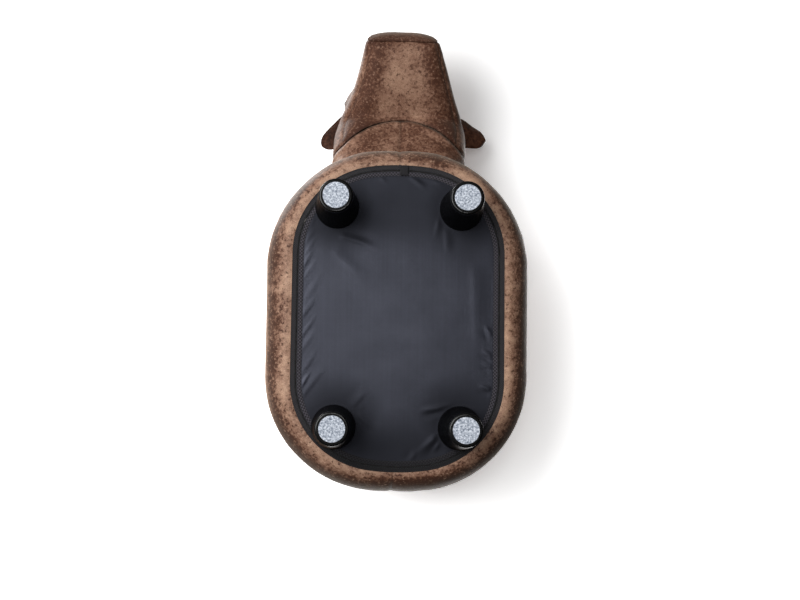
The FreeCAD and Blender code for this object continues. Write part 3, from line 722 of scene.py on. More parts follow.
def paddedLift(point, seams, seed):
    look = leatherLook
    nearest = min((gap for gap, along, strength in seams), default=1.0)
    lift = look["puff"] * (1 - math.exp(-nearest / look["puffReach"])) - look["puff"]
    groove = 0.0
    for gap, along, strength in seams:
        dip = 1 - ease(gap / look["diveReach"])
        lift -= look["dive"] * dip * min(strength, 1.0)
        groove = max(groove, dip ** 3 * min(strength, 1.0))
        if gap < 5 * look["puckerReach"]:
            lift += (look["pucker"] * strength * math.exp(-gap / look["puckerReach"])
                     * wave(along / look["puckerPitch"], gap * look["puckerDrift"], seed))
    lift += look["soft"] * noise.noise(point / look["softPitch"] + Vector((seed, 0, 0)))
    lift += look["fine"] * noise.noise(point / look["finePitch"] + Vector((0, seed, 0)))
    return lift, groove


def closeMiddle(points, faces, columnCount, flip=False):
    # a last point closes the innermost ring of a wrapped grid
    start = len(points) - columnCount
    ring = points[start:]
    points.append(sum(ring, Vector()) / columnCount)
    for column in range(columnCount):
        face = (start + column, start + (column + 1) % columnCount, len(points) - 1)
        faces.append(face[::-1] if flip else face)


def leatherPanel(name, rows, relief, flip, material, wrap=False):
    lifted, normals, rubAndLight, groove = [], [], [], []
    sign = -1 if flip else 1
    for i in range(len(rows)):
        normals.append([gridNormal(rows, i, j, wrap) * sign for j in range(len(rows[0]))])
        lifted.append([])
        for j in range(len(rows[0])):
            lift, tone, dirt = relief(i, j)
            lifted[i].append(rows[i][j] + normals[i][j] * lift)
            rubAndLight.append(tone)
            groove.append(dirt)
    points = [point for row in lifted for point in row]
    faces = gridFaces(len(rows), len(rows[0]), flip, wrap)
    if wrap:
        closeMiddle(points, faces, len(rows[0]), flip)
        rubAndLight.append(rubAndLight[-1])
        groove.append(0.0)
    piece = addPiece(name, points, faces, {"rubAndLight": rubAndLight, "groove": groove})
    thicken(piece, leatherLook["thickness"], material)
    return piece, lifted, normals


# Leather over foam, settled as cloth: a coarse copy of the grid swells between its sewn rows,
# and how far each point rose goes back to the full grid. The foam under it gives way only a little.
clothLook = {
    "quality": 6, "pressure": 3.0, "frames": 20, "tension": 15.0, "bending": 3.0, "mass": 0.3,
    "foamGive": 0.0004, "brush": 4,
    "wall": {"down": 2, "across": 3, "growth": 0.008, "cap": 0.0045},
    "seat": {"down": 2, "across": 4, "growth": 0.003, "cap": 0.0040},
}


def pickedSteps(count, stride, wrap):
    steps = list(range(0, count, stride))
    if not wrap and steps[-1] != count - 1:
        steps.append(count - 1)
    return steps


def settledCloth(coarse, sewn, wrap, growth):
    points = [point for row in coarse for point in row]
    piece = addPiece("clothTrial", points, gridFaces(len(coarse), len(coarse[0]), False, wrap))
    piece.vertex_groups.new(name="sewn").add(sewn, 1.0, "REPLACE")
    cloth = piece.modifiers.new("cloth", "CLOTH")
    cloth.settings.quality = clothLook["quality"]
    cloth.settings.mass = clothLook["mass"]
    cloth.settings.tension_stiffness = clothLook["tension"]
    cloth.settings.compression_stiffness = clothLook["tension"]
    cloth.settings.bending_stiffness = clothLook["bending"]
    cloth.settings.vertex_group_mass = "sewn"
    cloth.settings.use_pressure = True
    cloth.settings.uniform_pressure_force = clothLook["pressure"]
    cloth.settings.shrink_min = -growth
    cloth.settings.effector_weights.gravity = 0
    cloth.point_cache.frame_end = clothLook["frames"]
    for step in range(1, clothLook["frames"] + 1):
        scene.frame_set(step)
    settled = piece.evaluated_get(bpy.context.evaluated_depsgraph_get()).data.vertices
    places = [vertex.co.copy() for vertex in settled]
    bpy.data.meshes.remove(piece.data)
    scene.frame_set(1)
    return places


def brushed(row, wrap):
    smooth = list(row)
    for b in range(len(row)):
        if wrap or 0 < b < len(row) - 1:
            smooth[b] = (row[b - 1] + 2 * row[b] + row[(b + 1) % len(row)]) / 4
    return smooth


def clothRise(rows, isSewn, wrap, look):
    downSteps = pickedSteps(len(rows), look["down"], False)
    acrossSteps = pickedSteps(len(rows[0]), look["across"], wrap)
    width = len(acrossSteps)
    coarse = [[rows[i][j] for j in acrossSteps] for i in downSteps]
    rise = [[0.0] * width for i in downSteps]
    sewn = [a * width + b for a, i in enumerate(downSteps) for b, j in enumerate(acrossSteps)
            if isSewn(i, j)]
    places = settledCloth(coarse, sewn, wrap, look["growth"])
    for a in range(len(downSteps)):
        for b in range(width):
            height = (places[a * width + b] - coarse[a][b]).dot(gridNormal(coarse, a, b, wrap))
            rise[a][b] = max(look["cap"] * math.tanh(height / look["cap"]), -clothLook["foamGive"])
    for sweep in range(clothLook["brush"]):
        rise = [brushed(row, wrap) for row in rise]
    lowest, highest = min(map(min, rise)), max(map(max, rise))
    print("cloth settled:", round(lowest * 1000, 2), "to", round(highest * 1000, 2), "mm")

    def riseAt(i, j):
        a = min(i // look["down"], len(downSteps) - 2)
        b = min(j // look["across"], width - (1 if wrap else 2))
        after = (b + 1) % width
        down = (i - downSteps[a]) / (downSteps[a + 1] - downSteps[a])
        across = (j - acrossSteps[b]) / ((acrossSteps[after] - acrossSteps[b]) % len(rows[0]))
        upper = between(rise[a][b], rise[a][after], across)
        lower = between(rise[a + 1][b], rise[a + 1][after], across)
        return between(upper, lower, down)

    return riseAt


# Lines of brown thread, kept as they are sewn: points, the way out of the surface, and whether they close
brownLines = []


def sewAlongRow(lifted, normals, down, gap, closed=False, fromEnd=False):
    last = len(lifted) - 1
    points, outward = [], []
    for j in range(len(lifted[0])):
        gaps = [down[last][j] - row[j] if fromEnd else row[j] for row in down]
        i = min(range(len(lifted)), key=lambda row: abs(gaps[row] - gap))
        points.append(lifted[i][j] + normals[i][j] * leatherLook["threadLift"])
        outward.append(normals[i][j])
    brownLines.append((points, outward, closed))


# Body: a rounded oblong with a soft roll at the bottom edge and a crowned seat

bodyForm = {
    "halfWidth": 0.182, "halfLength": 0.2385, "cornerCentre": 0.027, "endRadius": 0.330,
    "rimSide": 0.0365, "rimEnd": 0.0285, "rimHeight": 0.052, "wallLean": 0.010,
    "crownSquareness": 2.4, "crownPatch": 0.014, "patchEnd": 0.985, "girth": 1.4,
    "columns": 250, "rollRows": 30, "wallRows": 46, "seatRows": 40, "patchRows": 9,
    "cornerDraw": 0.0042, "rearCornerDraw": 0.0018, "drawAngle": 1.2, "rearSeam": 0.504,
    "tailHalf": 0.046, "tailFade": 0.045, "wallFade": 0.050,
}
# the cover's edge at the zip: how far it tucks in, how it puckers, and how far up the end seams stay full
zipEdge = {"tuck": 0.0011, "tuckReach": 0.008, "pucker": 0.0005, "puckerReach": 0.012, "puckerPitch": 0.009,
           "puckerDrift": 30, "fullReach": 0.030}
# where the finish is worn: tan at the zip, dark and patchy on the roll's belly
rollWear = {"tan": 0.26, "tanFrom": 0.15, "tanSpan": 0.65, "dark": 0.30, "bellyAngle": 0.95,
            "bellySpan": 0.34, "patchSpan": 0.30, "wall": 0.02}
seamPull = {"shoulder": 0.9, "end": 0.35, "seat": 1.0}
# crackled patches on the roll, and painted light on its outer roll: painted shade at the rear (0.500, 1.25)
# and on the +X side (0.280, 1.40), a painted highlight on the -X side (0.750, 1.35); each gives where round
# the body, how far up the roll, half length and depth of colour
rollPatchesAndPaintedLight = [
    (0.030, 0.35, 0.022, 0.34), (0.000, 0.25, 0.045, 0.20), (1.000, 0.25, 0.070, 0.20),
    (0.500, 0.45, 0.070, 0.30), (0.500, 1.25, 0.110, 0.62), (0.280, 1.40, 0.120, 0.04),
    (0.750, 1.35, 0.200, -0.54), (0.256, 1.05, 0.030, 0.34), (0.318, 0.75, 0.020, 0.30),
    (0.392, 0.80, 0.024, 0.34), (0.462, 0.55, 0.020, 0.32), (0.560, 0.90, 0.030, 0.20),
    (0.700, 0.85, 0.040, 0.16), (0.900, 0.70, 0.030, 0.18), (0.145, 0.80, 0.030, 0.20),
]
straightShare = 0.231  # of a quarter of the outline, along the side
bendShare = 0.853  # of a quarter of the outline, to the end of the corner


def quarterShare(lap):
    # the quarter that a place lies in, and its share of it from the side's middle to the end's middle
    quarter = (lap % 1.0) * 4
    index = int(quarter)
    return index, quarter - index if index % 2 else 1 - (quarter - index)


def cornerShare(lap):
    share = (quarterShare(lap)[1] - straightShare) / (bendShare - straightShare)
    return hump(min(max(share, 0.0), 1.0))


def ovalPoint(lap, sideInset, endInset, z):
    index, share = quarterShare(lap)
    signX = 1 if index < 2 else -1
    signY = -1 if index in (0, 3) else 1
    side = bodyForm["halfWidth"] - sideInset
    end = bodyForm["halfLength"] - endInset
    corner = bodyForm["halfWidth"] - bodyForm["cornerCentre"] - (sideInset + endInset) / 2
    bow = bodyForm["endRadius"] - endInset
    centreX = side - corner
    turn = math.asin(centreX / (bow - corner))
    centreY = end - bow + (bow - corner) * math.cos(turn)
    if share < straightShare:
        x, y = side, centreY * share / straightShare
    elif share < bendShare:
        angle = (share - straightShare) / (bendShare - straightShare) * (math.pi / 2 - turn)
        x, y = centreX + corner * math.cos(angle), centreY + corner * math.sin(angle)
    else:
        angle = turn * (1 - (share - bendShare) / (1 - bendShare))
        x, y = bow * math.sin(angle), end - bow + bow * math.cos(angle)
    return Vector((signX * x, bodyY + signY * y, z))


def crowdedSteps(count, crowd):
    # steps from 0 to 1 that stand closer together at both ends
    shares = [index / (count - 1) for index in range(count)]
    return [share - crowd * math.sin(2 * math.pi * share) / (2 * math.pi) for share in shares]


def bodyStations():
    stations = []
    rimTop = undersideZ + bodyForm["rimHeight"]
    for index in range(bodyForm["rollRows"]):
        angle = math.pi / 2 * index / (bodyForm["rollRows"] - 1)
        share = 1 - math.sin(angle)
        stations.append((bodyForm["rimSide"] * share, bodyForm["rimEnd"] * share,
                         undersideZ + bodyForm["rimHeight"] * (1 - math.cos(angle)), angle))
    for step in crowdedSteps(bodyForm["wallRows"] + 1, 0.6)[1:]:
        lean = bodyForm["wallLean"] * step ** 2
        stations.append((lean, lean, between(rimTop, shoulderZ, step), math.pi / 2))
    return stations


def besideTail(point):
    # the tail holds the cover flat: 0 under it, 1 well beside it
    return ease((abs(point.x) - bodyForm["tailHalf"]) / bodyForm["tailFade"]) if point.y > bodyY else 1.0


def rollRubAndLight(lap, angle, along, seed):
    wear = rollWear
    patch = wave(along * 7, angle * 1.5, seed + 9)
    belly = bell(angle, wear["bellyAngle"], wear["bellySpan"]) * (0.45 + 0.8 * max(0.0, patch + 0.35))
    tan = 1 - ease((angle - wear["tanFrom"]) / wear["tanSpan"])
    rubAndLight = wear["tan"] * tan - wear["dark"] * belly
    for middle, up, reach, depth in rollPatchesAndPaintedLight:
        rubAndLight -= depth * math.exp(-((lap - middle) / reach) ** 2 - ((angle - up) / wear["patchSpan"]) ** 2)
    return rubAndLight


def bodySide(name, firstLap, lastLap, seed, *nodeNames):
    stations = bodyStations()
    laps = [between(firstLap, lastLap, step) for step in crowdedSteps(bodyForm["columns"], 0.5)]
    rows = [[ovalPoint(lap, side, end, z) for lap in laps] for side, end, z, angle in stations]
    down, across = edgeGaps(rows)
    lastRow, lastColumn = len(rows) - 1, len(laps) - 1

    def isSewn(i, j):
        return i < bodyForm["rollRows"] or i == lastRow or j in (0, lastColumn)

    wallRise = clothRise(rows, isSewn, False, clothLook["wall"])

    def relief(i, j):
        point, angle = rows[i][j], stations[i][3]
        along = laps[j] * bodyForm["girth"]
        fromZip = down[i][j]
        sideGaps = (across[i][j], across[i][lastColumn] - across[i][j])
        seams = [(down[lastRow][j] - fromZip, along, seamPull["shoulder"])]
        seams += [(gap, fromZip, seamPull["end"]) for gap in sideGaps]
        lift, groove = paddedLift(point, seams, seed)
        lift += leatherLook["puff"] + zipEdge["tuck"] * ease(fromZip / zipEdge["tuckReach"]) - zipEdge["tuck"]
        upWall = ease((point.z - undersideZ - bodyForm["rimHeight"]) / bodyForm["wallFade"])
        lift += wallRise(i, j) * besideTail(point) * upWall
        full = math.exp(-min(sideGaps) / leatherLook["puffReach"])
        lift += leatherLook["puff"] * full * (1 - ease(fromZip / zipEdge["fullReach"]))
        wallShare = (point.z - undersideZ) / (shoulderZ - undersideZ)
        cornerDraw = bodyForm["rearCornerDraw" if point.y > bodyY else "cornerDraw"]
        upRoll = ease(angle / bodyForm["drawAngle"])
        lift -= cornerDraw * cornerShare(laps[j]) * upRoll * (1 - ease(wallShare))
        lift += (zipEdge["pucker"] * math.exp(-fromZip / zipEdge["puckerReach"])
                 * wave(along / zipEdge["puckerPitch"], fromZip * zipEdge["puckerDrift"], seed + 4))
        rubAndLight = rollRubAndLight(laps[j], angle, along, seed) + (rollWear["wall"] if i > bodyForm["rollRows"] else 0)
        return lift, rubAndLight, groove * 0.8

    piece, lifted, normals = leatherPanel(name, rows, relief, False, leatherBrown)
    sewAlongRow(lifted, normals, down, leatherLook["threadGap"], fromEnd=True)
    finishPiece(piece, "leather_brown", *nodeNames)


bodySide("bodyCoverLeft", 0.0, bodyForm["rearSeam"], 3.1,
         "body_cover_left", "side_foam_left", "side_foam_front")
bodySide("bodyCoverRight", bodyForm["rearSeam"], 1.0, 7.7,
         "body_cover_right", "side_foam_right", "side_foam_rear")
print("body cover sewn")


seatTone = {"edge": 0.10, "centre": 0.22, "centreReach": 0.16, "mottle": 0.12}


def seatStations():
    power = 2 / bodyForm["crownSquareness"]
    span = bodyForm["halfWidth"] - bodyForm["cornerCentre"] - bodyForm["wallLean"]
    last = math.acos((bodyForm["crownPatch"] / span) ** (1 / power))
    scale = (crownZ - shoulderZ) / math.sin(last) ** power
    stations = []
    for step in range(bodyForm["seatRows"]):
        angle = last * step / (bodyForm["seatRows"] - 1)
        inset = bodyForm["wallLean"] + span * (1 - math.cos(angle) ** power)
        stations.append((inset, shoulderZ + scale * math.sin(angle) ** power))
    return stations


def seatCover():
    columns = bodyForm["columns"] * 2
    rows = [[ovalPoint(column / columns, inset, inset, z) for column in range(columns)]
            for inset, z in seatStations()]
    patchEdge = rows[-1]
    for step in range(1, bodyForm["patchRows"] + 1):
        share = 1 - step / bodyForm["patchRows"] * bodyForm["patchEnd"]
        rows.append([Vector((point.x * share, bodyY + (point.y - bodyY) * share, crownZ))
                     for point in patchEdge])
    down = edgeGaps(rows)[0]
    seatRise = clothRise(rows, lambda i, j: i == 0, True, clothLook["seat"])

    def relief(i, j):
        along = j / columns * bodyForm["girth"]
        lift, groove = paddedLift(rows[i][j], [(down[i][j], along, seamPull["seat"])], 13.3)
        lift += seatRise(i, j)
        centre = 1 - ease(down[i][j] / seatTone["centreReach"])
        mottle = seatTone["mottle"] * wave(along * 6, down[i][j] * 9, 2.2)
        return lift, seatTone["edge"] - seatTone["centre"] * centre + mottle, groove * 0.9

    piece, lifted, normals = leatherPanel("seatCover", rows, relief, False, leatherBrown, wrap=True)
    sewAlongRow(lifted, normals, down, leatherLook["threadGap"], closed=True)
    finishPiece(piece, "leather_brown", "seat_cover", "seat_foam")


seatCover()
print("seat sewn")


# Neck and head. Sections are rounded four-sided outlines that lean forward as the head does.

headForm = {
    "neckSink": 0.040, "neckRootHeight": 0.072, "neckRootDrop": 0.022, "neckSwell": 0.003,
    "neckWidth": 0.212, "neckTopWidth": 0.162, "neckRound": 0.060, "neckLow": 0.132, "neckHigh": 0.080,
    "throatReach": 0.075, "throatDrop": 0.142, "throatLean": 0.0050,
    "pollReach": 0.034, "pollRise": 0.009, "pollLean": 0.0085,
    "cheekWidth": 0.202, "cheekTopWidth": 0.158, "cheekRound": 0.050, "cheekSwell": 0.002,
    "chinReach": 0.179, "chinDrop": 0.182, "chinLean": 0.0050,
    "noseReach": 0.210, "noseDrop": 0.111, "noseLean": 0.0060,
    "muzzleWidth": 0.113, "muzzleTopWidth": 0.104, "muzzleRound": 0.021,
    "headLow": 0.105, "headHigh": 0.210, "jawSag": 0.006, "jawDraw": 0.0030, "browSwell": 0.005,
    "midLean": 0.0035,
    "lap": 0.007, "jowl": 0.050, "jowlLift": 0.0040, "jowlLiftFrom": 0.014, "jowlLiftReach": 0.036,
    "jowlSwell": 0.0048, "jowlSwellAt": 0.010, "jowlSwellReach": 0.030,
    "eyeLean": 0.0098, "eyeDraw": 0.0049, "eyeReach": 0.026,
    "rows": 74, "foldSweeps": 3, "foldReach": 0.020, "cornerSteps": 12,
    "backSeam": 0.7, "frontSeam": 1.0, "sideSeam": 0.25, "frontDirt": 0.20, "backDirt": 0.8,
}
frontY = bodyY - bodyForm["halfLength"]


def headSpot(reach, z, lean=0.0):
    return Vector((lean, frontY - reach, z))


def throatSpot():
    return headSpot(headForm["throatReach"], crownZ - headForm["throatDrop"], headForm["throatLean"])


def pollSpot():
    return headSpot(headForm["pollReach"], crownZ + headForm["pollRise"], headForm["pollLean"])


def neckSection(share):
    form = headForm
    bulge = form["neckSwell"] * hump(share)
    rootLow = headSpot(-form["neckSink"], undersideZ + form["neckRootHeight"])
    rootHigh = headSpot(-form["neckSink"], crownZ - form["neckRootDrop"])
    return (between(rootLow, throatSpot(), share) - Vector((0, 0, bulge)),
            between(rootHigh, pollSpot(), share) + Vector((0, 0, bulge)),
            between(form["neckWidth"], form["cheekWidth"], share) / 2 + bulge,
            between(form["neckTopWidth"], form["cheekTopWidth"], share) / 2 + bulge,
            between(form["neckRound"], form["cheekRound"], share))


def headSection(share):
    form = headForm
    chin = headSpot(form["chinReach"], crownZ - form["chinDrop"], form["chinLean"])
    nose = headSpot(form["noseReach"], crownZ - form["noseDrop"], form["noseLean"])
    swell = form["cheekSwell"] * hump(share)
    jawMiddle = Vector((form["midLean"] * hump(share), 0, -form["jawSag"] * hump(share)))
    return (between(throatSpot(), chin, share) + jawMiddle,
            between(pollSpot(), nose, share) + Vector((0, 0, form["browSwell"] * hump(share))),
            between(form["cheekWidth"], form["muzzleWidth"], share) / 2 - form["jawDraw"] * hump(share),
            between(form["cheekTopWidth"], form["muzzleTopWidth"], share) / 2 + swell,
            between(form["cheekRound"], form["muzzleRound"], share))


def roundCorner(at, arrive, leave, radius):
    count = headForm["cornerSteps"]
    turn = arrive.angle(leave)
    reach = radius * math.tan(turn / 2)
    first, last = at - arrive * reach, at + leave * reach
    inward = (leave - arrive).normalized()
    centre = at + inward * (radius / math.cos(turn / 2))
    points = []
    for step in range(count + 1):
        spoke = (first - centre) * (1 - step / count) + (last - centre) * (step / count)
        points.append(centre + spoke.normalized() * radius)
    return points


def sectionRuns(section):
    # the half outline as three runs, jaw, cheek and face: each joins the next half way round a corner
    low, high, halfLow, halfHigh, radius = section
    rise = high - low
    height = rise.length
    side = Vector((halfHigh - halfLow, height)).normalized()
    flat = Vector((1, 0))
    lowCorner = roundCorner(Vector((halfLow, 0)), flat, side, radius)
    highCorner = roundCorner(Vector((halfHigh, height)), side, -flat, radius)
    half = headForm["cornerSteps"] // 2
    runs = [[Vector((0, 0))] + lowCorner[:half + 1],
            lowCorner[half:] + highCorner[:half + 1],
            highCorner[half:] + [Vector((0, height))]]
    return runs, low, rise.normalized()


def runPoint(run, share):
    lengths = [(run[index + 1] - run[index]).length for index in range(len(run) - 1)]
    target = share * sum(lengths)
    for index, length in enumerate(lengths):
        if target <= length or index == len(lengths) - 1:
            return run[index].lerp(run[index + 1], min(target / length, 1.0))
        target -= length


def sectionPoints(section, around):
    runs, low, rise = sectionRuns(section)
    points = []
    for value in around:
        size = abs(value)
        index = min(int(size), 2)
        flat = runPoint(runs[index], size - index)
        points.append(low + Vector((math.copysign(flat.x, value), 0, 0)) + rise * flat.y)
    return points


def aroundShare(value):
    # 0 at the throat, 1 at the poll
    return min(abs(value) / 3, 1.0)


def jowlReach(value):
    return headForm["lap"] + headForm["jowl"] * math.sin(math.pi * aroundShare(value)) ** 2


def jowlRise(value, way):
    # how far the head's panels stand off the neck that they lap over
    corner = math.sin(math.pi * aroundShare(value)) ** 2
    swell = headForm["jowlSwell"] * corner * bell(way, headForm["jowlSwellAt"], headForm["jowlSwellReach"])
    return headForm["jowlLift"] * ease((headForm["jowlLiftFrom"] - way) / headForm["jowlLiftReach"]) + swell


def neckLength(value):
    return between(headForm["neckLow"], headForm["neckHigh"], aroundShare(value))


def headLength(value):
    return between(headForm["headLow"], headForm["headHigh"], aroundShare(value))


def headRows(around):
    # from the edge that laps over the neck to the muzzle
    rowCount = headForm["rows"]
    cache = {}

    def pointAt(kind, share, index):
        key = (kind, round(share, 3))
        if key not in cache:
            section = headSection(key[1]) if kind == "head" else neckSection(key[1])
            cache[key] = sectionPoints(section, around)
        return cache[key][index]

    rows, ways = [], []
    for step in crowdedSteps(rowCount, 0.55):
        row, wayRow = [], []
        for index, value in enumerate(around):
            jowl = jowlReach(value)
            way = step * (jowl + headLength(value)) - jowl
            if way < 0:
                point = pointAt("neck", 1 + way / neckLength(value), index)
            else:
                point = pointAt("head", way / headLength(value), index)
            row.append(point)
            wayRow.append(way)
        rows.append(row)
        ways.append(wayRow)
    # a short brush over the fold between neck and head
    for sweep in range(headForm["foldSweeps"]):
        for i in range(1, rowCount - 1):
            for j in range(len(around)):
                if abs(ways[i][j]) < headForm["foldReach"]:
                    rows[i][j] = rows[i][j] * 0.5 + (rows[i - 1][j] + rows[i + 1][j]) * 0.25
    return rows, ways


eyeSpots = [sum(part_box(eyeName), Vector()) / 2 for eyeName in ("eye_left", "eye_right")]


def eyeHug(point):
    # the cheek keeps to the eye where the head leans
    hug = 0.0
    for spot in eyeSpots:
        draw = headForm["eyeDraw"] - math.copysign(headForm["eyeLean"], spot.x)
        hug += draw * bell((point - spot).length, 0.0, headForm["eyeReach"])
    return hug


def headPanel(name, around, seed, tone, *nodeNames):
    rows, ways = headRows(around)
    down, across = edgeGaps(rows)
    lastRow, lastColumn = len(rows) - 1, len(around) - 1

    def relief(i, j):
        backGap, frontGap = down[i][j], down[lastRow][j] - down[i][j]
        seams = [(backGap, across[i][j], headForm["backSeam"]),
                 (frontGap, across[i][j], headForm["frontSeam"])]
        for gap in (across[i][j], across[i][lastColumn] - across[i][j]):
            seams.append((gap, backGap, headForm["sideSeam"]))
        lift, groove = paddedLift(rows[i][j], seams, seed)
        lift += jowlRise(around[j], ways[i][j])
        lift += eyeHug(rows[i][j])
        dirt = headForm["frontDirt" if frontGap < backGap else "backDirt"]
        return lift, tone(j, ways[i][j], frontGap), groove * dirt

    piece = leatherPanel(name, rows, relief, False, leatherHead)[0]
    finishPiece(piece, "leather_brown", *nodeNames)


def spread(first, last, count, crowd=0.4):
    return [between(first, last, step) for step in crowdedSteps(count, crowd)]


# where the head's finish is worn pale or dark at random, panel by panel, and darker near the nose panel; on
# the jaw that dark front edge is painted shade where it curves away, with a paler band behind it, and there
# is also a painted highlight along its middle, painted shade towards its sides and painted shade in the fold
# under its lap
jawWearAndLight = {"middle": 0.14, "middleFrom": 0.34, "middleSpan": 0.36, "right": 0.20, "left": 0.22, "edge": 0.10,
           "edgeReach": 0.012, "fold": 0.16, "foldReach": 0.013, "front": 0.07, "frontReach": 0.03,
           "mottle": 0.12}
cheekWear = {"base": -0.04, "mottle": 0.14, "across": 0.09, "along": 16, "seed": 8.1, "front": 0.18}
faceWear = {"base": 0.06, "mottle": 0.14, "across": 0.08, "along": 14, "seed": 3.7, "front": 0.20}
jawAround = spread(-1.0, 1.0, 71)
faceAround = spread(2.0, 3.0, 36, 0.2)
faceAround += [-value for value in faceAround[-2::-1]]


def jawToneAndLight(j, way, frontGap):
    wear, value = jawWearAndLight, jawAround[j]
    middle = 1 - ease((abs(value) - wear["middleFrom"]) / wear["middleSpan"])
    edge = 1 - ease(frontGap / wear["edgeReach"])
    front = 1 - ease((frontGap - wear["edgeReach"]) / wear["frontReach"])
    fold = 1 - ease((way + jowlReach(value)) / wear["foldReach"])
    # painted highlight along the middle, painted shade towards the sides, at the front edge and in the fold
    # under the lap
    tone = wear["middle"] * middle - wear["right" if value < 0 else "left"] * (1 - middle)
    tone -= wear["edge"] * edge + wear["fold"] * fold
    return tone + wear["mottle"] * wave(value * 3, way * 18, 5.5) + wear["front"] * front


def plainTone(wear):
    def tone(j, way, frontGap):
        mottle = wear["mottle"] * wave(j * wear["across"], way * wear["along"], wear["seed"])
        return wear["base"] + mottle - wear["front"] * (1 - ease(frontGap / 0.025))
    return tone


headPanel("jawPanel", jawAround, 21.4, jawToneAndLight, "jaw_panel", "head_foam")
headPanel("cheekLeft", spread(1.0, 2.0, 44), 31.9, plainTone(cheekWear), "cheek_left")
headPanel("cheekRight", spread(-2.0, -1.0, 44), 37.2, plainTone(cheekWear), "cheek_right")
headPanel("facePanel", faceAround, 43.6, plainTone(faceWear), "face_panel")
print("head sewn")

# The neck starts inside the body, and is tucked, rolled and gathered under the head's edge
neckLook = {
    "rows": 62, "columns": 110, "start": -0.005, "seam": 0.35, "tuck": 0.0034, "roll": 0.0022,
    "rollAt": 0.009, "fold": 0.0009, "foldReach": 0.018, "gather": 0.0022, "gatherPitch": 0.007,
    "gatherWidth": 0.030, "gatherReach": 0.020, "mottle": 0.16, "rollHighlight": 0.10, "leftShade": 0.08,
    "rightShade": -0.02, "gatherShade": 0.10, "seamDirt": 0.8, "creaseShade": 0.46,
}


def neckPanel(name, side, seed, *nodeNames):
    look = neckLook
    around = spread(0.0, 3.0 * side, look["columns"], 0.3)
    shares = [between(look["start"], 1.0, index / (look["rows"] - 1)) for index in range(look["rows"])]
    rows = [sectionPoints(neckSection(share), around) for share in shares]
    down, across = edgeGaps(rows)
    sideShade = look["leftShade" if side > 0 else "rightShade"]

    def relief(i, j):
        edge = (1 - shares[i]) * neckLength(around[j]) - jowlReach(around[j])
        under, fromThroat = max(edge, 0), across[i][j]
        seams = [(gap, down[i][j], look["seam"]) for gap in (fromThroat, across[i][-1] - fromThroat)]
        lift, groove = paddedLift(rows[i][j], seams, seed)
        lift -= look["tuck"] * (1 - ease((edge + 0.004) / 0.007))
        lift += look["roll"] * bell(edge, look["rollAt"], 0.005)
        folds = math.exp(-under / look["foldReach"]) * wave(around[j] * 5.5, edge * 25, seed + 3)
        gather = math.exp(-fromThroat / look["gatherWidth"]) * math.exp(-under / look["gatherReach"])
        gathers = look["gather"] * gather * wave(fromThroat / look["gatherPitch"], edge / 0.03, seed + 5)
        lift += look["fold"] * folds + gathers
        # painted shade in the crease under the head's edge, in the seam dirt colour; a painted highlight on
        # the roll behind it; painted shade on the +X half, turned from the light, a touch of painted light on
        # the -X half, and painted shade in the gathers
        crease = 1 - ease((edge - 0.001) / 0.0055)
        rubAndLight = look["mottle"] * wave(around[j] * 2.5, shares[i] * 6, seed)
        rubAndLight += look["rollHighlight"] * bell(edge, 0.010, 0.006)
        rubAndLight -= sideShade + look["gatherShade"] * gather
        return lift, rubAndLight, max(groove * look["seamDirt"], look["creaseShade"] * crease)

    piece = leatherPanel(name, rows, relief, side < 0, leatherHead)[0]
    finishPiece(piece, "leather_brown", *nodeNames)


neckPanel("neckCoverLeft", 1, 51.5, "neck_cover_left", "neck_foam")
neckPanel("neckCoverRight", -1, 57.1, "neck_cover_right")
print("neck sewn")

noseLook = {
    "rows": 26, "columns": 64, "tuck": 0.0024, "pad": 0.009, "padPower": 3.2, "shrink": 0.97,
    "threadGap": 0.0050, "crease": 0.0010, "creasePitch": 0.011, "creaseReach": 0.020, "creaseFrom": 0.004,
    "tone": -0.18, "edgeDark": 0.08, "dirt": 0.22, "dirtReach": 0.003,
}


def nosePanel():
    look = noseLook
    around = spread(0.0, 3.0, look["columns"], 0.0)
    loop = [-value for value in around[:0:-1]] + around[:-1]
    low, high = headSection(1.0)[:2]
    middle = (low + high) / 2
    outline = sectionPoints(headSection(1.0), loop)
    rim = [point + (middle - point).normalized() * look["tuck"] for point in outline]
    forward = Vector((1, 0, 0)).cross((high - low).normalized())
    rows = []
    for index in range(look["rows"]):
        size = 1 - index / (look["rows"] - 1) * look["shrink"]
        swell = look["pad"] * (1 - size ** look["padPower"])
        rows.append([middle + (point - middle) * size + forward * swell for point in rim])
    down, across = edgeGaps(rows)

    def relief(i, j):
        gap = down[i][j]
        edge = 1 - ease(gap / look["creaseReach"])
        creases = look["crease"] * edge * wave(across[0][j] / look["creasePitch"], gap * 40, 6.1)
        lift = paddedLift(rows[i][j], [], 63.8)[0] + creases * ease(gap / look["creaseFrom"])
        dirt = look["dirt"] * (1 - ease(gap / look["dirtReach"]))
        return lift, look["tone"] - look["edgeDark"] * edge, dirt

    piece, lifted, normals = leatherPanel("nosePanel", rows, relief, forward.y > 0, leatherHead, wrap=True)
    sewAlongRow(lifted, normals, down, look["threadGap"], closed=True)
    finishPiece(piece, "leather_brown", "nose_panel")


nosePanel()
print("nose sewn")

# Ears: cupped leaves of dark leather, swept back

earForm = {
    "place": 0.27, "spread": 0.060, "drop": 0.034, "length": 0.0715, "width": 0.074, "tipWidth": 0.026,
    "taper": 1.7, "thick": 0.015, "tipThick": 0.007, "sweep": 0.0297, "lean": 0.0058, "swing": 0.0067,
    "lift": 0.014, "cup": 0.0065, "roundFrom": 0.84, "tilt": 17, "along": 34, "around": 40,
    "crease": 0.0012, "fineCrease": 0.0006, "tone": 0.16, "sideLight": 0.06, "rootDark": 0.3, "edgePale": 0.12,
    "seamAt": 0.93, "seamHalf": 0.05, "seamDirt": 0.8,
}


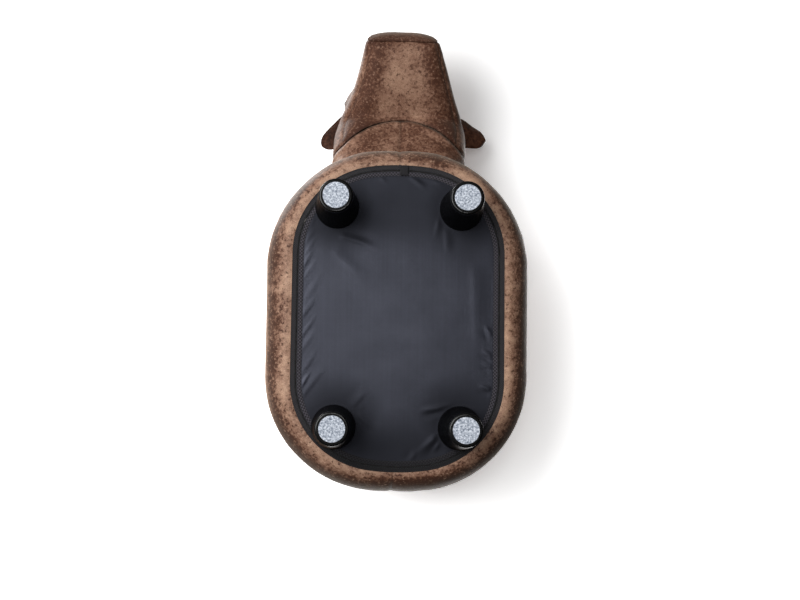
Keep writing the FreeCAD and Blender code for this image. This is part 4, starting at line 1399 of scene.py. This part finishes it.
def earPiece(name, side, *nodeNames):
    form = earForm
    low, high = headSection(form["place"])[:2]
    rise = (high - low).normalized()
    forward = Vector((1, 0, 0)).cross(rise)
    root = low + Vector((side * form["spread"], 0, 0)) + rise * ((high - low).length - form["drop"])
    reach = Vector((side * form["length"] + form["lean"], form["sweep"] - side * form["swing"], form["lift"]))
    tip = root + reach
    axis = (tip - root).normalized()
    flatWide = (forward - axis * forward.dot(axis)).normalized()
    flatThick = axis.cross(flatWide)
    turn = math.radians(form["tilt"]) * math.copysign(1, flatThick.z)
    wide = flatWide * math.cos(turn) + flatThick * math.sin(turn)
    thick = flatThick * math.cos(turn) - flatWide * math.sin(turn)
    points, rubAndLight, groove = [], [], []
    for index in range(form["along"]):
        share = index / (form["along"] - 1)
        rounding = max((share - form["roundFrom"]) / (1 - form["roundFrom"]), 0.0)
        closing = math.sqrt(max(1 - rounding ** 2, 0.0004))
        half = between(form["width"], form["tipWidth"], share ** form["taper"]) / 2 * closing
        fat = between(form["thick"], form["tipThick"], share) / 2 * max(closing, 0.25)
        middle = root.lerp(tip, share)
        for step in range(form["around"]):
            angle = 2 * math.pi * step / form["around"]
            x, y = math.cos(angle), math.sin(angle)
            cup = form["cup"] * (x * x - 0.4) * (1 - share * 0.4)
            crease = form["crease"] * wave(share * 5, x * 2.5, 4 + side)
            crease += form["fineCrease"] * wave(share * 16, x * 6, 9 + side)
            points.append(middle + wide * (half * x) + thick * (fat * y * (1 - 0.35 * x * x) - cup + crease))
            pale = form["edgePale"] * ease((abs(x) - 0.75) / 0.25)
            # sideLight is painted light on the ear at +X, the side turned from the lamps, and painted shade
            # on the ear at -X
            rubAndLight.append(form["tone"] + form["sideLight"] * side - form["rootDark"] * (1 - share) + pale)
            groove.append(form["seamDirt"] * max(0.0, 1 - abs(abs(x) - form["seamAt"]) / form["seamHalf"]))
    faces = gridFaces(form["along"], form["around"], wrap=True)
    faces.append(tuple(range(len(points) - form["around"], len(points))))
    faces.append(tuple(range(form["around"]))[::-1])
    piece = addPiece(name, points, faces, {"rubAndLight": rubAndLight, "groove": groove})
    piece.data.materials.append(leatherDark)
    fine = piece.modifiers.new("fine", "SUBSURF")
    fine.levels = fine.render_levels = 1
    settle(piece, 70)
    finishPiece(piece, "leather_dark", *nodeNames)


earPiece("earLeft", 1, "ear_left")
earPiece("earRight", -1, "ear_right")
print("ears sewn")


# Fringes of leather strips: mane over the crest, forelock on the brow, tail on the rear wall

stripForm = {"width": 0.0108, "thickness": 0.0018, "columns": 5, "pitch": 0.012, "arch": 0.0007,
             "curl": 0.0005, "tipNarrow": 0.30, "edgePale": 0.18, "base": -0.08, "tipPale": 0.25}


def addStrip(points, faces, rubAndLight, path, outward, wide, tipCut, seed):
    form = stripForm
    start = len(points)
    columns = form["columns"]
    for i, spot in enumerate(path):
        share = i / (len(path) - 1)
        narrow = 1 - form["tipNarrow"] * ease((share - 0.72) / 0.28)
        for j in range(columns):
            x = j / (columns - 1) * 2 - 1
            curl = form["arch"] * (1 - x * x) + form["curl"] * wave(share * 6, x + seed, 2.0)
            pull = (path[-1] - path[-2]) * (tipCut * x * ease((share - 0.8) / 0.2))
            points.append(spot + wide[i] * (x * form["width"] / 2 * narrow) + outward[i] * curl + pull)
            tipPale = form["tipPale"] * ease((share - 0.85) / 0.15)
            rubAndLight.append(form["edgePale"] * abs(x) + form["base"] + tipPale)
    faces.extend(gridFaces(len(path), columns, False, False, start))


def fringe(name, strips):
    points, faces, rubAndLight = [], [], []
    for path, outward, wide, tipCut, seed in strips:
        if wide[0].cross(path[1] - path[0]).dot(outward[0]) < 0:
            wide = [-way for way in wide]
        addStrip(points, faces, rubAndLight, path, outward, wide, tipCut, seed)
    piece = addPiece(name, points, faces, {"rubAndLight": rubAndLight})
    thicken(piece, stripForm["thickness"], leatherDark)
    finishPiece(piece, "leather_dark", name)


maneForm = {"strips": 5, "last": 17, "end": 1.90, "lift": 0.0032, "lapLift": 0.0017, "lapReach": 0.006,
            "tipLift": 0.0010, "uneven": 0.0004, "yaw": 0.02}


def maneStrips():
    form, last = maneForm, maneForm["last"]
    dice = random.Random(11)
    crest = neckSection(1.0)[1] - neckSection(0.0)[1]
    strips = []
    for index in range(form["strips"]):
        share = 1 - stripForm["pitch"] / crest.length * (index + 0.5)
        section = neckSection(share)
        middle = (section[0] + section[1]) / 2
        for side in (-1, 1):
            ends = [form["end"] + dice.uniform(-0.06, 0.12) for step in range(last + 1)]
            around = [side * between(3.0, end, step / last) for step, end in enumerate(ends)]
            spots = sectionPoints(section, around)
            path, outward = [], []
            yaw = dice.uniform(-0.10, 0.10)
            for step, spot in enumerate(spots):
                after, before = spots[min(step + 1, last)], spots[max(step - 1, 0)]
                out = (after - before).cross(crest).normalized()
                if out.dot(spot - middle) < 0:
                    out = -out
                reach, gap = jowlReach(around[step]), (1 - share) * neckLength(around[step])
                lapped = ease((reach - gap + form["lapReach"]) / form["lapReach"])
                lift = between(form["lift"], form["lapLift"] + jowlRise(around[step], -gap), lapped)
                uneven = form["uneven"] * wave(step * 0.4, index, side)
                lift += form["tipLift"] * ease((step - 12) / 5) + uneven
                path.append(spot + out * lift + crest.normalized() * (yaw * form["yaw"] * step / last))
                outward.append(out)
            wide = [crest.normalized()] * len(path)
            strips.append((path, outward, wide, dice.uniform(-0.6, 0.6), index + 7 * side))
    return strips


forelockForm = {"strips": 5, "last": 17, "from": 0.02, "to": 0.36, "shorter": 0.03, "gather": 0.15,
                "sway": 0.003, "lift": 0.0036, "tipLift": 0.0010}


def forelockStrips():
    form, last = forelockForm, forelockForm["last"]
    dice = random.Random(23)
    strips = []
    for index in range(form["strips"]):
        x = (index - 2) * stripForm["pitch"]
        end = form["to"] - form["shorter"] * abs(index - 2) + dice.uniform(-0.02, 0.02)
        path, outward = [], []
        for step in range(last + 1):
            section = headSection(between(form["from"], end, step / last))
            rise = (section[1] - section[0]).normalized()
            sway = x * (1 - form["gather"] * step / last) + form["sway"] * wave(step * 0.12, index, 3.0)
            lift = form["lift"] + form["tipLift"] * ease((step - 12) / 5)
            path.append(section[1] + Vector((sway, 0, 0)) + rise * lift)
            outward.append(rise)
        wide = [Vector((1, 0, 0))] * len(path)
        strips.append((path, outward, wide, dice.uniform(-0.7, 0.7), index + 40))
    return strips


def rearWall(x, z):
    share = (z - undersideZ - bodyForm["rimHeight"]) / (shoulderZ - undersideZ - bodyForm["rimHeight"])
    bow = bodyForm["endRadius"] - math.sqrt(bodyForm["endRadius"] ** 2 - x * x)
    return bodyY + bodyForm["halfLength"] - bodyForm["wallLean"] * share ** 2 - bow


tailForm = {"strips": 7, "last": 21, "shorter": 0.035, "root": 0.90, "fan": 0.12, "sway": 0.0035,
            "lift": 0.0034, "hang": 0.0022}


def tailStrips():
    form, last = tailForm, tailForm["last"]
    low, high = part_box("tail")
    dice = random.Random(31)
    strips = []
    for index in range(form["strips"]):
        x = (index - 3) * stripForm["pitch"]
        length = (high.z - low.z) * (1.0 - form["shorter"] * abs(index - 3) + dice.uniform(-0.03, 0.0))
        path = []
        for step in range(last + 1):
            share = step / last
            z = high.z - length * share
            sway = x * (form["root"] + form["fan"] * share)
            sway += form["sway"] * share * wave(share * 2.2, index * 1.7, 6.0)
            gap = form["lift"] + form["hang"] * ease(share * 1.4) * (0.6 + 0.4 * wave(share * 3, index, 1.0))
            path.append(Vector((sway, rearWall(sway, z) + gap, z)))
        outward = [Vector((0, 1, 0))] * len(path)
        wide = [Vector((1, 0, 0))] * len(path)
        strips.append((path, outward, wide, dice.uniform(-0.8, 0.8), index + 60))
    return strips


wrapForm = {"rows": 17, "columns": 41, "tuck": 0.0026, "sink": 0.0006, "ridge": 0.0007, "uneven": 0.0005,
            "thickness": 0.0030, "pale": 0.12, "dirt": 0.5}


def tailWrap():
    form = wrapForm
    low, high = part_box("tail_wrap")
    middleZ, halfZ = (low.z + high.z) / 2, (high.z - low.z) / 2
    points, rubAndLight, groove = [], [], []
    for i in range(form["rows"]):
        v = i / (form["rows"] - 1) * 2 - 1
        for j in range(form["columns"]):
            u = j / (form["columns"] - 1) * 2 - 1
            tuck = max(abs(u) ** 10, abs(v) ** 8)
            ridge = form["ridge"] * math.sin(v * math.pi * 2.5) * (1 - abs(u) ** 6)
            ridge += form["uneven"] * wave(u * 5, v * 2, 3.3)
            y = high.y - form["tuck"] * tuck - form["sink"] + ridge
            points.append(Vector((u * high.x * (1 - 0.02 * v * v), y, middleZ + v * halfZ)))
            rubAndLight.append(form["pale"] * (1 - tuck))
            groove.append(form["dirt"] * max(0.0, tuck - 0.6))
    faces = gridFaces(form["rows"], form["columns"], True)
    piece = addPiece("tailWrap", points, faces, {"rubAndLight": rubAndLight, "groove": groove})
    thicken(piece, form["thickness"], leatherDark)
    finishPiece(piece, "leather_dark", "tail_wrap")


fringe("mane", maneStrips())
fringe("forelock", forelockStrips())
fringe("tail", tailStrips())
tailWrap()
print("fringes cut")


# Base cover: thin black nylon drawn flat over the board, creased where it was sewn and screwed down

def middleOf(nodeName, axis):
    low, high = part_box(nodeName)
    return (low[axis] + high[axis]) / 2


nylonLook = {
    "inset": 0.0138, "columns": 460, "rows": 92, "shrink": 0.996, "thickness": 0.0005, "belly": 0.0007,
    "ripple": 0.00012, "heldRipple": 0.00012, "mostRise": 0.0004, "edgeFree": 0.03, "slack": 1.004,
    "footX": middleOf("felt_front_left", 0), "footY": middleOf("felt_rear_left", 1) - bodyY,
    "footRoom": 0.0302, "footFree": 0.010, "footShade": 0.95, "footShadeReach": 0.052,
    "hemReach": 0.16, "hemShade": 0.9, "rearShade": 0.88, "rearFrom": 0.115, "rearSpan": 0.065,
    "frontShade": 0.60, "frontFrom": 0.085, "frontSpan": 0.050,
}
# creases: start and end in millimetres from the body's centre, then width and height
nylonCreases = [
    (-79, -109, -38, -97, 5.5, 1.1), (-88, -87, -50, -50, 10.0, 0.45), (75, 119, 38, 125, 5.0, 1.7),
    (72, 128, 40, 131, 4.0, -1.2), (62, 153, 32, 180, 6.0, 2.0), (62, 165, 50, 180, 4.0, 1.8),
    (59, -151, 50, -116, 5.0, 1.1), (64, -122, 66, -92, 6.0, 0.6), (-53, 134, -34, 152, 5.5, 0.6),
    (-60, 122, -44, 104, 6.0, 0.4), (14, -194, 33, -180, 4.0, 1.0), (41, -194, 57, -184, 4.0, 1.0),
    (-30, -196, -20, -186, 4.0, 0.6), (103, -66, 107, 40, 12.0, 0.30), (128, 52, 116, 44, 3.5, 0.5),
    (128, 66, 117, 60, 3.5, 0.4), (128, 22, 120, 12, 3.5, 0.5), (126, 96, 112, 92, 4.0, 0.6),
    (20, 196, 26, 182, 4.0, 0.7),
]


def addTucks():
    # slanting tucks along the horse's right side
    dice = random.Random(5)
    edgeX = -131
    for index in range(15):
        y = -116 + index * 16.5 + dice.uniform(-4, 4)
        length = dice.uniform(26, 52)
        slope = dice.uniform(0.46, 0.62)
        nylonCreases.append((edgeX, y, edgeX + length * slope, y - length * (1 - slope * 0.3),
                             dice.uniform(3.0, 6.4), dice.uniform(0.25, 0.95)))


def creaseDrop(x, y):
    drop = 0.0
    for x1, y1, x2, y2, width, height in nylonCreases:
        runX, runY = x2 - x1, y2 - y1
        length = math.hypot(runX, runY)
        share = ((x - x1) * runX + (y - y1) * runY) / length ** 2
        if share < -0.15 or share > 1.3:
            continue
        sideways = ((x - x1) * runY - (y - y1) * runX) / length
        if abs(sideways) > 5 * width:
            continue
        fade = ease((share + 0.15) / 0.25) * (1 - ease((share - 0.45) / 0.85))
        crest = bell(sideways, 0.0, width if sideways > 0 else 0.5 * width)
        crest -= 0.45 * bell(sideways, 1.9 * width, 1.1 * width)
        drop += height * fade * crest
    return drop


def nylonBase():
    look = nylonLook
    sideInset = bodyForm["rimSide"] + look["inset"]
    endInset = bodyForm["rimEnd"] + look["inset"]
    laps = [column / look["columns"] for column in range(look["columns"])]
    edge = [ovalPoint(lap, sideInset, endInset, undersideZ) for lap in laps]
    feet = [(x * look["footX"], y * look["footY"]) for x in (-1, 1) for y in (-1, 1)]
    points, shade = [], []
    for row in range(look["rows"]):
        share = 1 - row / (look["rows"] - 1) * look["shrink"]
        for spot in edge:
            x, y = spot.x * share, (spot.y - bodyY) * share
            free = ease((1 - share) / look["edgeFree"])
            # painted shade: a dark line along the hem, a halo round each foot, and darker front and rear ends
            hem = look["hemShade"] * (1 - ease(((1 - share) * look["hemReach"] - 0.0012) / 0.0024))
            for footX, footY in feet:
                gap = math.hypot(x - footX, y - footY) - look["footRoom"]
                free *= ease(gap / look["footFree"])
                hem = max(hem, look["footShade"] * (1 - ease(gap / look["footShadeReach"])))
            rear = look["rearShade"] * ease((y - look["rearFrom"]) / look["rearSpan"])
            front = look["frontShade"] * ease((-y - look["frontFrom"]) / look["frontSpan"])
            shade.append(max(hem, rear, front))
            drop = creaseDrop(x * 1000, y * 1000) / 1000 + look["belly"] * (1 - share * share)
            drop += look["ripple"] * noise.noise(Vector((x * 30, y * 22, 1.7)))
            drop += look["heldRipple"] * (1 - free) * wave(x * 300, y * 300, 2.0)
            z = undersideZ + look["thickness"] - max(drop, -look["mostRise"]) * free
            points.append(Vector((x, bodyY + y, z)))
    faces = gridFaces(look["rows"], look["columns"], True, wrap=True)
    closeMiddle(points, faces, look["columns"], True)
    piece = addPiece("baseNylonSheet", points, faces, {"shade": shade + [0.0]})
    thicken(piece, look["thickness"], baseNylon)
    finishPiece(piece, "base_nylon", "base_cover")


addTucks()
nylonBase()


# Zip: two woven tapes with a slit between them, coil teeth in the slit, and a tab over the ends

zipLook = {
    "outerFrom": -0.0016, "outerTo": 0.0067, "innerFrom": 0.0083, "innerTo": 0.0150,
    "columns": 700, "rows": 9, "thickness": 0.0008, "sink": 0.0003, "crown": 0.0003, "ripple": 0.00022,
    "ripplePace": 85, "rearShade": 0.75, "rearFrom": 0.13, "rearSpan": 0.07, "lineSteps": 900,
    "toothGap": 0.0006, "threads": (0.0014, 0.0056, 0.0094, 0.0138), "threadZ": -0.0001,
}


def zipLine(inset, count, z):
    return [ovalPoint(index / count, bodyForm["rimSide"] + inset, bodyForm["rimEnd"] + inset, z)
            for index in range(count)]


def zipTape(name, first, last, material, seed, *nodeNames):
    look = zipLook
    insets, rows = [], []
    for index in range(look["rows"]):
        share = index / (look["rows"] - 1)
        insets.append(between(first, last, share))
        z = undersideZ + look["sink"] - look["crown"] * hump(share)
        rows.append(zipLine(insets[-1], look["columns"], z))
    points, uv, shade = [], [], []
    reach = [0.0]
    for spot, after in zip(rows[0], rows[0][1:]):
        reach.append(reach[-1] + (after - spot).length)
    for i, row in enumerate(rows):
        for j, spot in enumerate(row):
            ripple = look["ripple"] * wave(reach[j] * look["ripplePace"], i * 0.15, seed)
            points.append(spot + Vector((0, 0, ripple)))
            uv.append((reach[j], insets[i]))
            shade.append(look["rearShade"] * ease((spot.y - bodyY - look["rearFrom"]) / look["rearSpan"]))
    faces = gridFaces(look["rows"], look["columns"], True, wrap=True)
    piece = addPiece(name, points, faces, {"shade": shade}, uv=uv)
    thicken(piece, look["thickness"], material)
    finishPiece(piece, "zip_cloth", *nodeNames)
    length = reach[-1] + (rows[0][0] - rows[0][-1]).length
    inner = sum((after - spot).length for spot, after in zip(rows[-1], rows[-1][1:] + rows[-1][:1]))
    print(name, "is", round((length + inner) / 2, 3), "long")


zipTape("zipTapeOuter", zipLook["outerFrom"], zipLook["outerTo"], tapePlain, 1.5, "zip_tape_outer")
zipTape("zipTapeInner", zipLook["innerFrom"], zipLook["innerTo"], tapeDotted, 4.5, "zip_tape_inner")


# Geometry Nodes: beads of thread or coil set out along a line, lying on the surface

def makeBeadTree():
    tree = bpy.data.node_groups.new("beadsAlongLine", "GeometryNodeTree")
    tree.interface.new_socket("Geometry", in_out="INPUT", socket_type="NodeSocketGeometry")
    for label in ("Pitch", "Length", "Width", "Height", "Turn", "Unevenness"):
        tree.interface.new_socket(label, in_out="INPUT", socket_type="NodeSocketFloat")
    tree.interface.new_socket("Seed", in_out="INPUT", socket_type="NodeSocketInt")
    tree.interface.new_socket("Material", in_out="INPUT", socket_type="NodeSocketMaterial")
    tree.interface.new_socket("Geometry", in_out="OUTPUT", socket_type="NodeSocketGeometry")
    given = tree.nodes.new("NodeGroupInput").outputs

    def step(kind, inputs=None, result=0, **settings):
        return addNode(tree, kind, inputs, **settings).outputs[result]

    line = step("GeometryNodeMeshToCurve", {"Mesh": given["Geometry"]})
    even = step("GeometryNodeResampleCurve", {"Curve": line, "Length": given["Pitch"]}, mode="LENGTH")
    lift = step("GeometryNodeInputNamedAttribute", {"Name": "lift"}, "Attribute", data_type="FLOAT_VECTOR")
    stand = step("FunctionNodeAlignRotationToVector", {"Vector": lift}, axis="Z")
    tangent = step("GeometryNodeInputTangent")
    follow = step("FunctionNodeAlignRotationToVector", {"Rotation": stand, "Vector": tangent}, axis="X",
                  pivot_axis="Z")
    least = mathNode(tree, "MULTIPLY", given["Unevenness"], -1.0)
    chance = step("FunctionNodeRandomValue", {"Seed": given["Seed"], 2: least, 3: given["Unevenness"]}, 1,
                  data_type="FLOAT")
    swing = mathNode(tree, "ADD", given["Turn"], chance)
    twist = step("FunctionNodeAxisAngleToRotation", {"Axis": (0, 0, 1), "Angle": swing})
    turned = step("FunctionNodeRotateRotation", {"Rotation": follow, "Rotate By": twist},
                  rotation_space="LOCAL")
    size = step("ShaderNodeCombineXYZ", {"X": given["Length"], "Y": given["Width"], "Z": given["Height"]})
    bead = step("GeometryNodeMeshUVSphere", {"Segments": 8, "Rings": 5, "Radius": 0.5}, "Mesh")
    place = step("GeometryNodeInstanceOnPoints", {"Points": even, "Instance": bead, "Rotation": turned,
                                                  "Scale": size})
    real = step("GeometryNodeRealizeInstances", {"Geometry": place})
    smooth = step("GeometryNodeSetShadeSmooth", {"Geometry": real})
    dressed = step("GeometryNodeSetMaterial", {"Geometry": smooth, "Material": given["Material"]})
    setInputs(tree, tree.nodes.new("NodeGroupOutput"), {0: dressed})
    return tree


beadTree = makeBeadTree()
coilBeads = {"Pitch": 0.00150, "Length": 0.0022, "Width": 0.0011, "Height": 0.0012, "Turn": math.pi / 2,
             "Unevenness": 0.02, "Material": coilNylon}
blackBeads = {"Pitch": 0.0031, "Length": 0.0026, "Width": 0.0006, "Height": 0.0005, "Turn": 0.0,
              "Unevenness": 0.06, "Seed": 8, "Material": threadBlack}
brownBeads = {"Pitch": 0.0044, "Length": 0.0036, "Width": 0.0009, "Height": 0.0008, "Turn": 0.0,
              "Unevenness": 0.08, "Seed": 9, "Material": threadBrown}


def beadRow(name, lines, inputs, slotName, *nodeNames):
    points, edges, lifts = [], [], []
    for spots, outward, closed in lines:
        start = len(points)
        points.extend(spots)
        lifts.extend(value for way in outward for value in way)
        edges.extend((start + index, start + index + 1) for index in range(len(spots) - 1))
        if closed:
            edges.append((start + len(spots) - 1, start))
    mesh = bpy.data.meshes.new(name)
    mesh.from_pydata(points, edges, [])
    mesh.attributes.new("lift", "FLOAT_VECTOR", "POINT").data.foreach_set("vector", lifts)
    piece = bpy.data.objects.new(name, mesh)
    scene.collection.objects.link(piece)
    beads = piece.modifiers.new("beads", "NODES")
    beads.node_group = beadTree
    for item in beadTree.interface.items_tree:
        if item.in_out == "INPUT" and item.name in inputs:
            beads[item.identifier] = inputs[item.name]
    settle(piece, 80)
    if not piece.data.materials:
        piece.data.materials.append(inputs["Material"])
    finishPiece(piece, slotName, *nodeNames)


def flatLine(inset, z):
    spots = zipLine(inset, zipLook["lineSteps"], undersideZ + z)
    return spots, [Vector((0, 0, -1))] * len(spots), True


zipMiddle = (zipLook["outerTo"] + zipLook["innerFrom"]) / 2
beadRow("zipCoilOuter", [flatLine(zipMiddle - zipLook["toothGap"], 0.0004)], {**coilBeads, "Seed": 4},
        "zip_nylon", "zip_coil_outer")
beadRow("zipCoilInner", [flatLine(zipMiddle + zipLook["toothGap"], 0.0005)], {**coilBeads, "Seed": 5},
        "zip_nylon", "zip_coil_inner")
blackLines = [flatLine(inset, zipLook["threadZ"]) for inset in zipLook["threads"]]
beadRow("zipThread", blackLines, blackBeads, "zip_cloth")
beadRow("leatherThread", brownLines, brownBeads, "leather_brown")
print("zip and threads sewn")

tabLook = {"count": 25, "edge": 0.0009, "edgeFrom": 0.86, "hem": 0.00025, "hemAt": 0.66, "hemHalf": 0.05,
           "uneven": 0.0001, "thickness": 0.0012}


def zipTab():
    look = tabLook
    low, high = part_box("zip_tab")
    middle = (low + high) / 2
    steps = [index / (look["count"] - 1) * 2 - 1 for index in range(look["count"])]
    points, uv = [], []
    for v in steps:
        for u in steps:
            rim = max(abs(u), abs(v))
            soft = look["edge"] * ease((rim - look["edgeFrom"]) / (1 - look["edgeFrom"]))
            hem = look["hem"] * bell(rim, look["hemAt"], look["hemHalf"])
            z = low.z + soft + hem + look["uneven"] * wave(u * 3, v * 3, 5.0)
            spot = Vector((middle.x + u * (high.x - low.x) / 2, middle.y + v * (high.y - low.y) / 2, z))
            points.append(spot)
            uv.append((spot.x, spot.y))
    piece = addPiece("zipTab", points, gridFaces(look["count"], look["count"], True), uv=uv)
    thicken(piece, min(look["thickness"], high.z - low.z), tabCloth)
    finishPiece(piece, "base_nylon", "zip_tab")


zipTab()
print("tab folded")
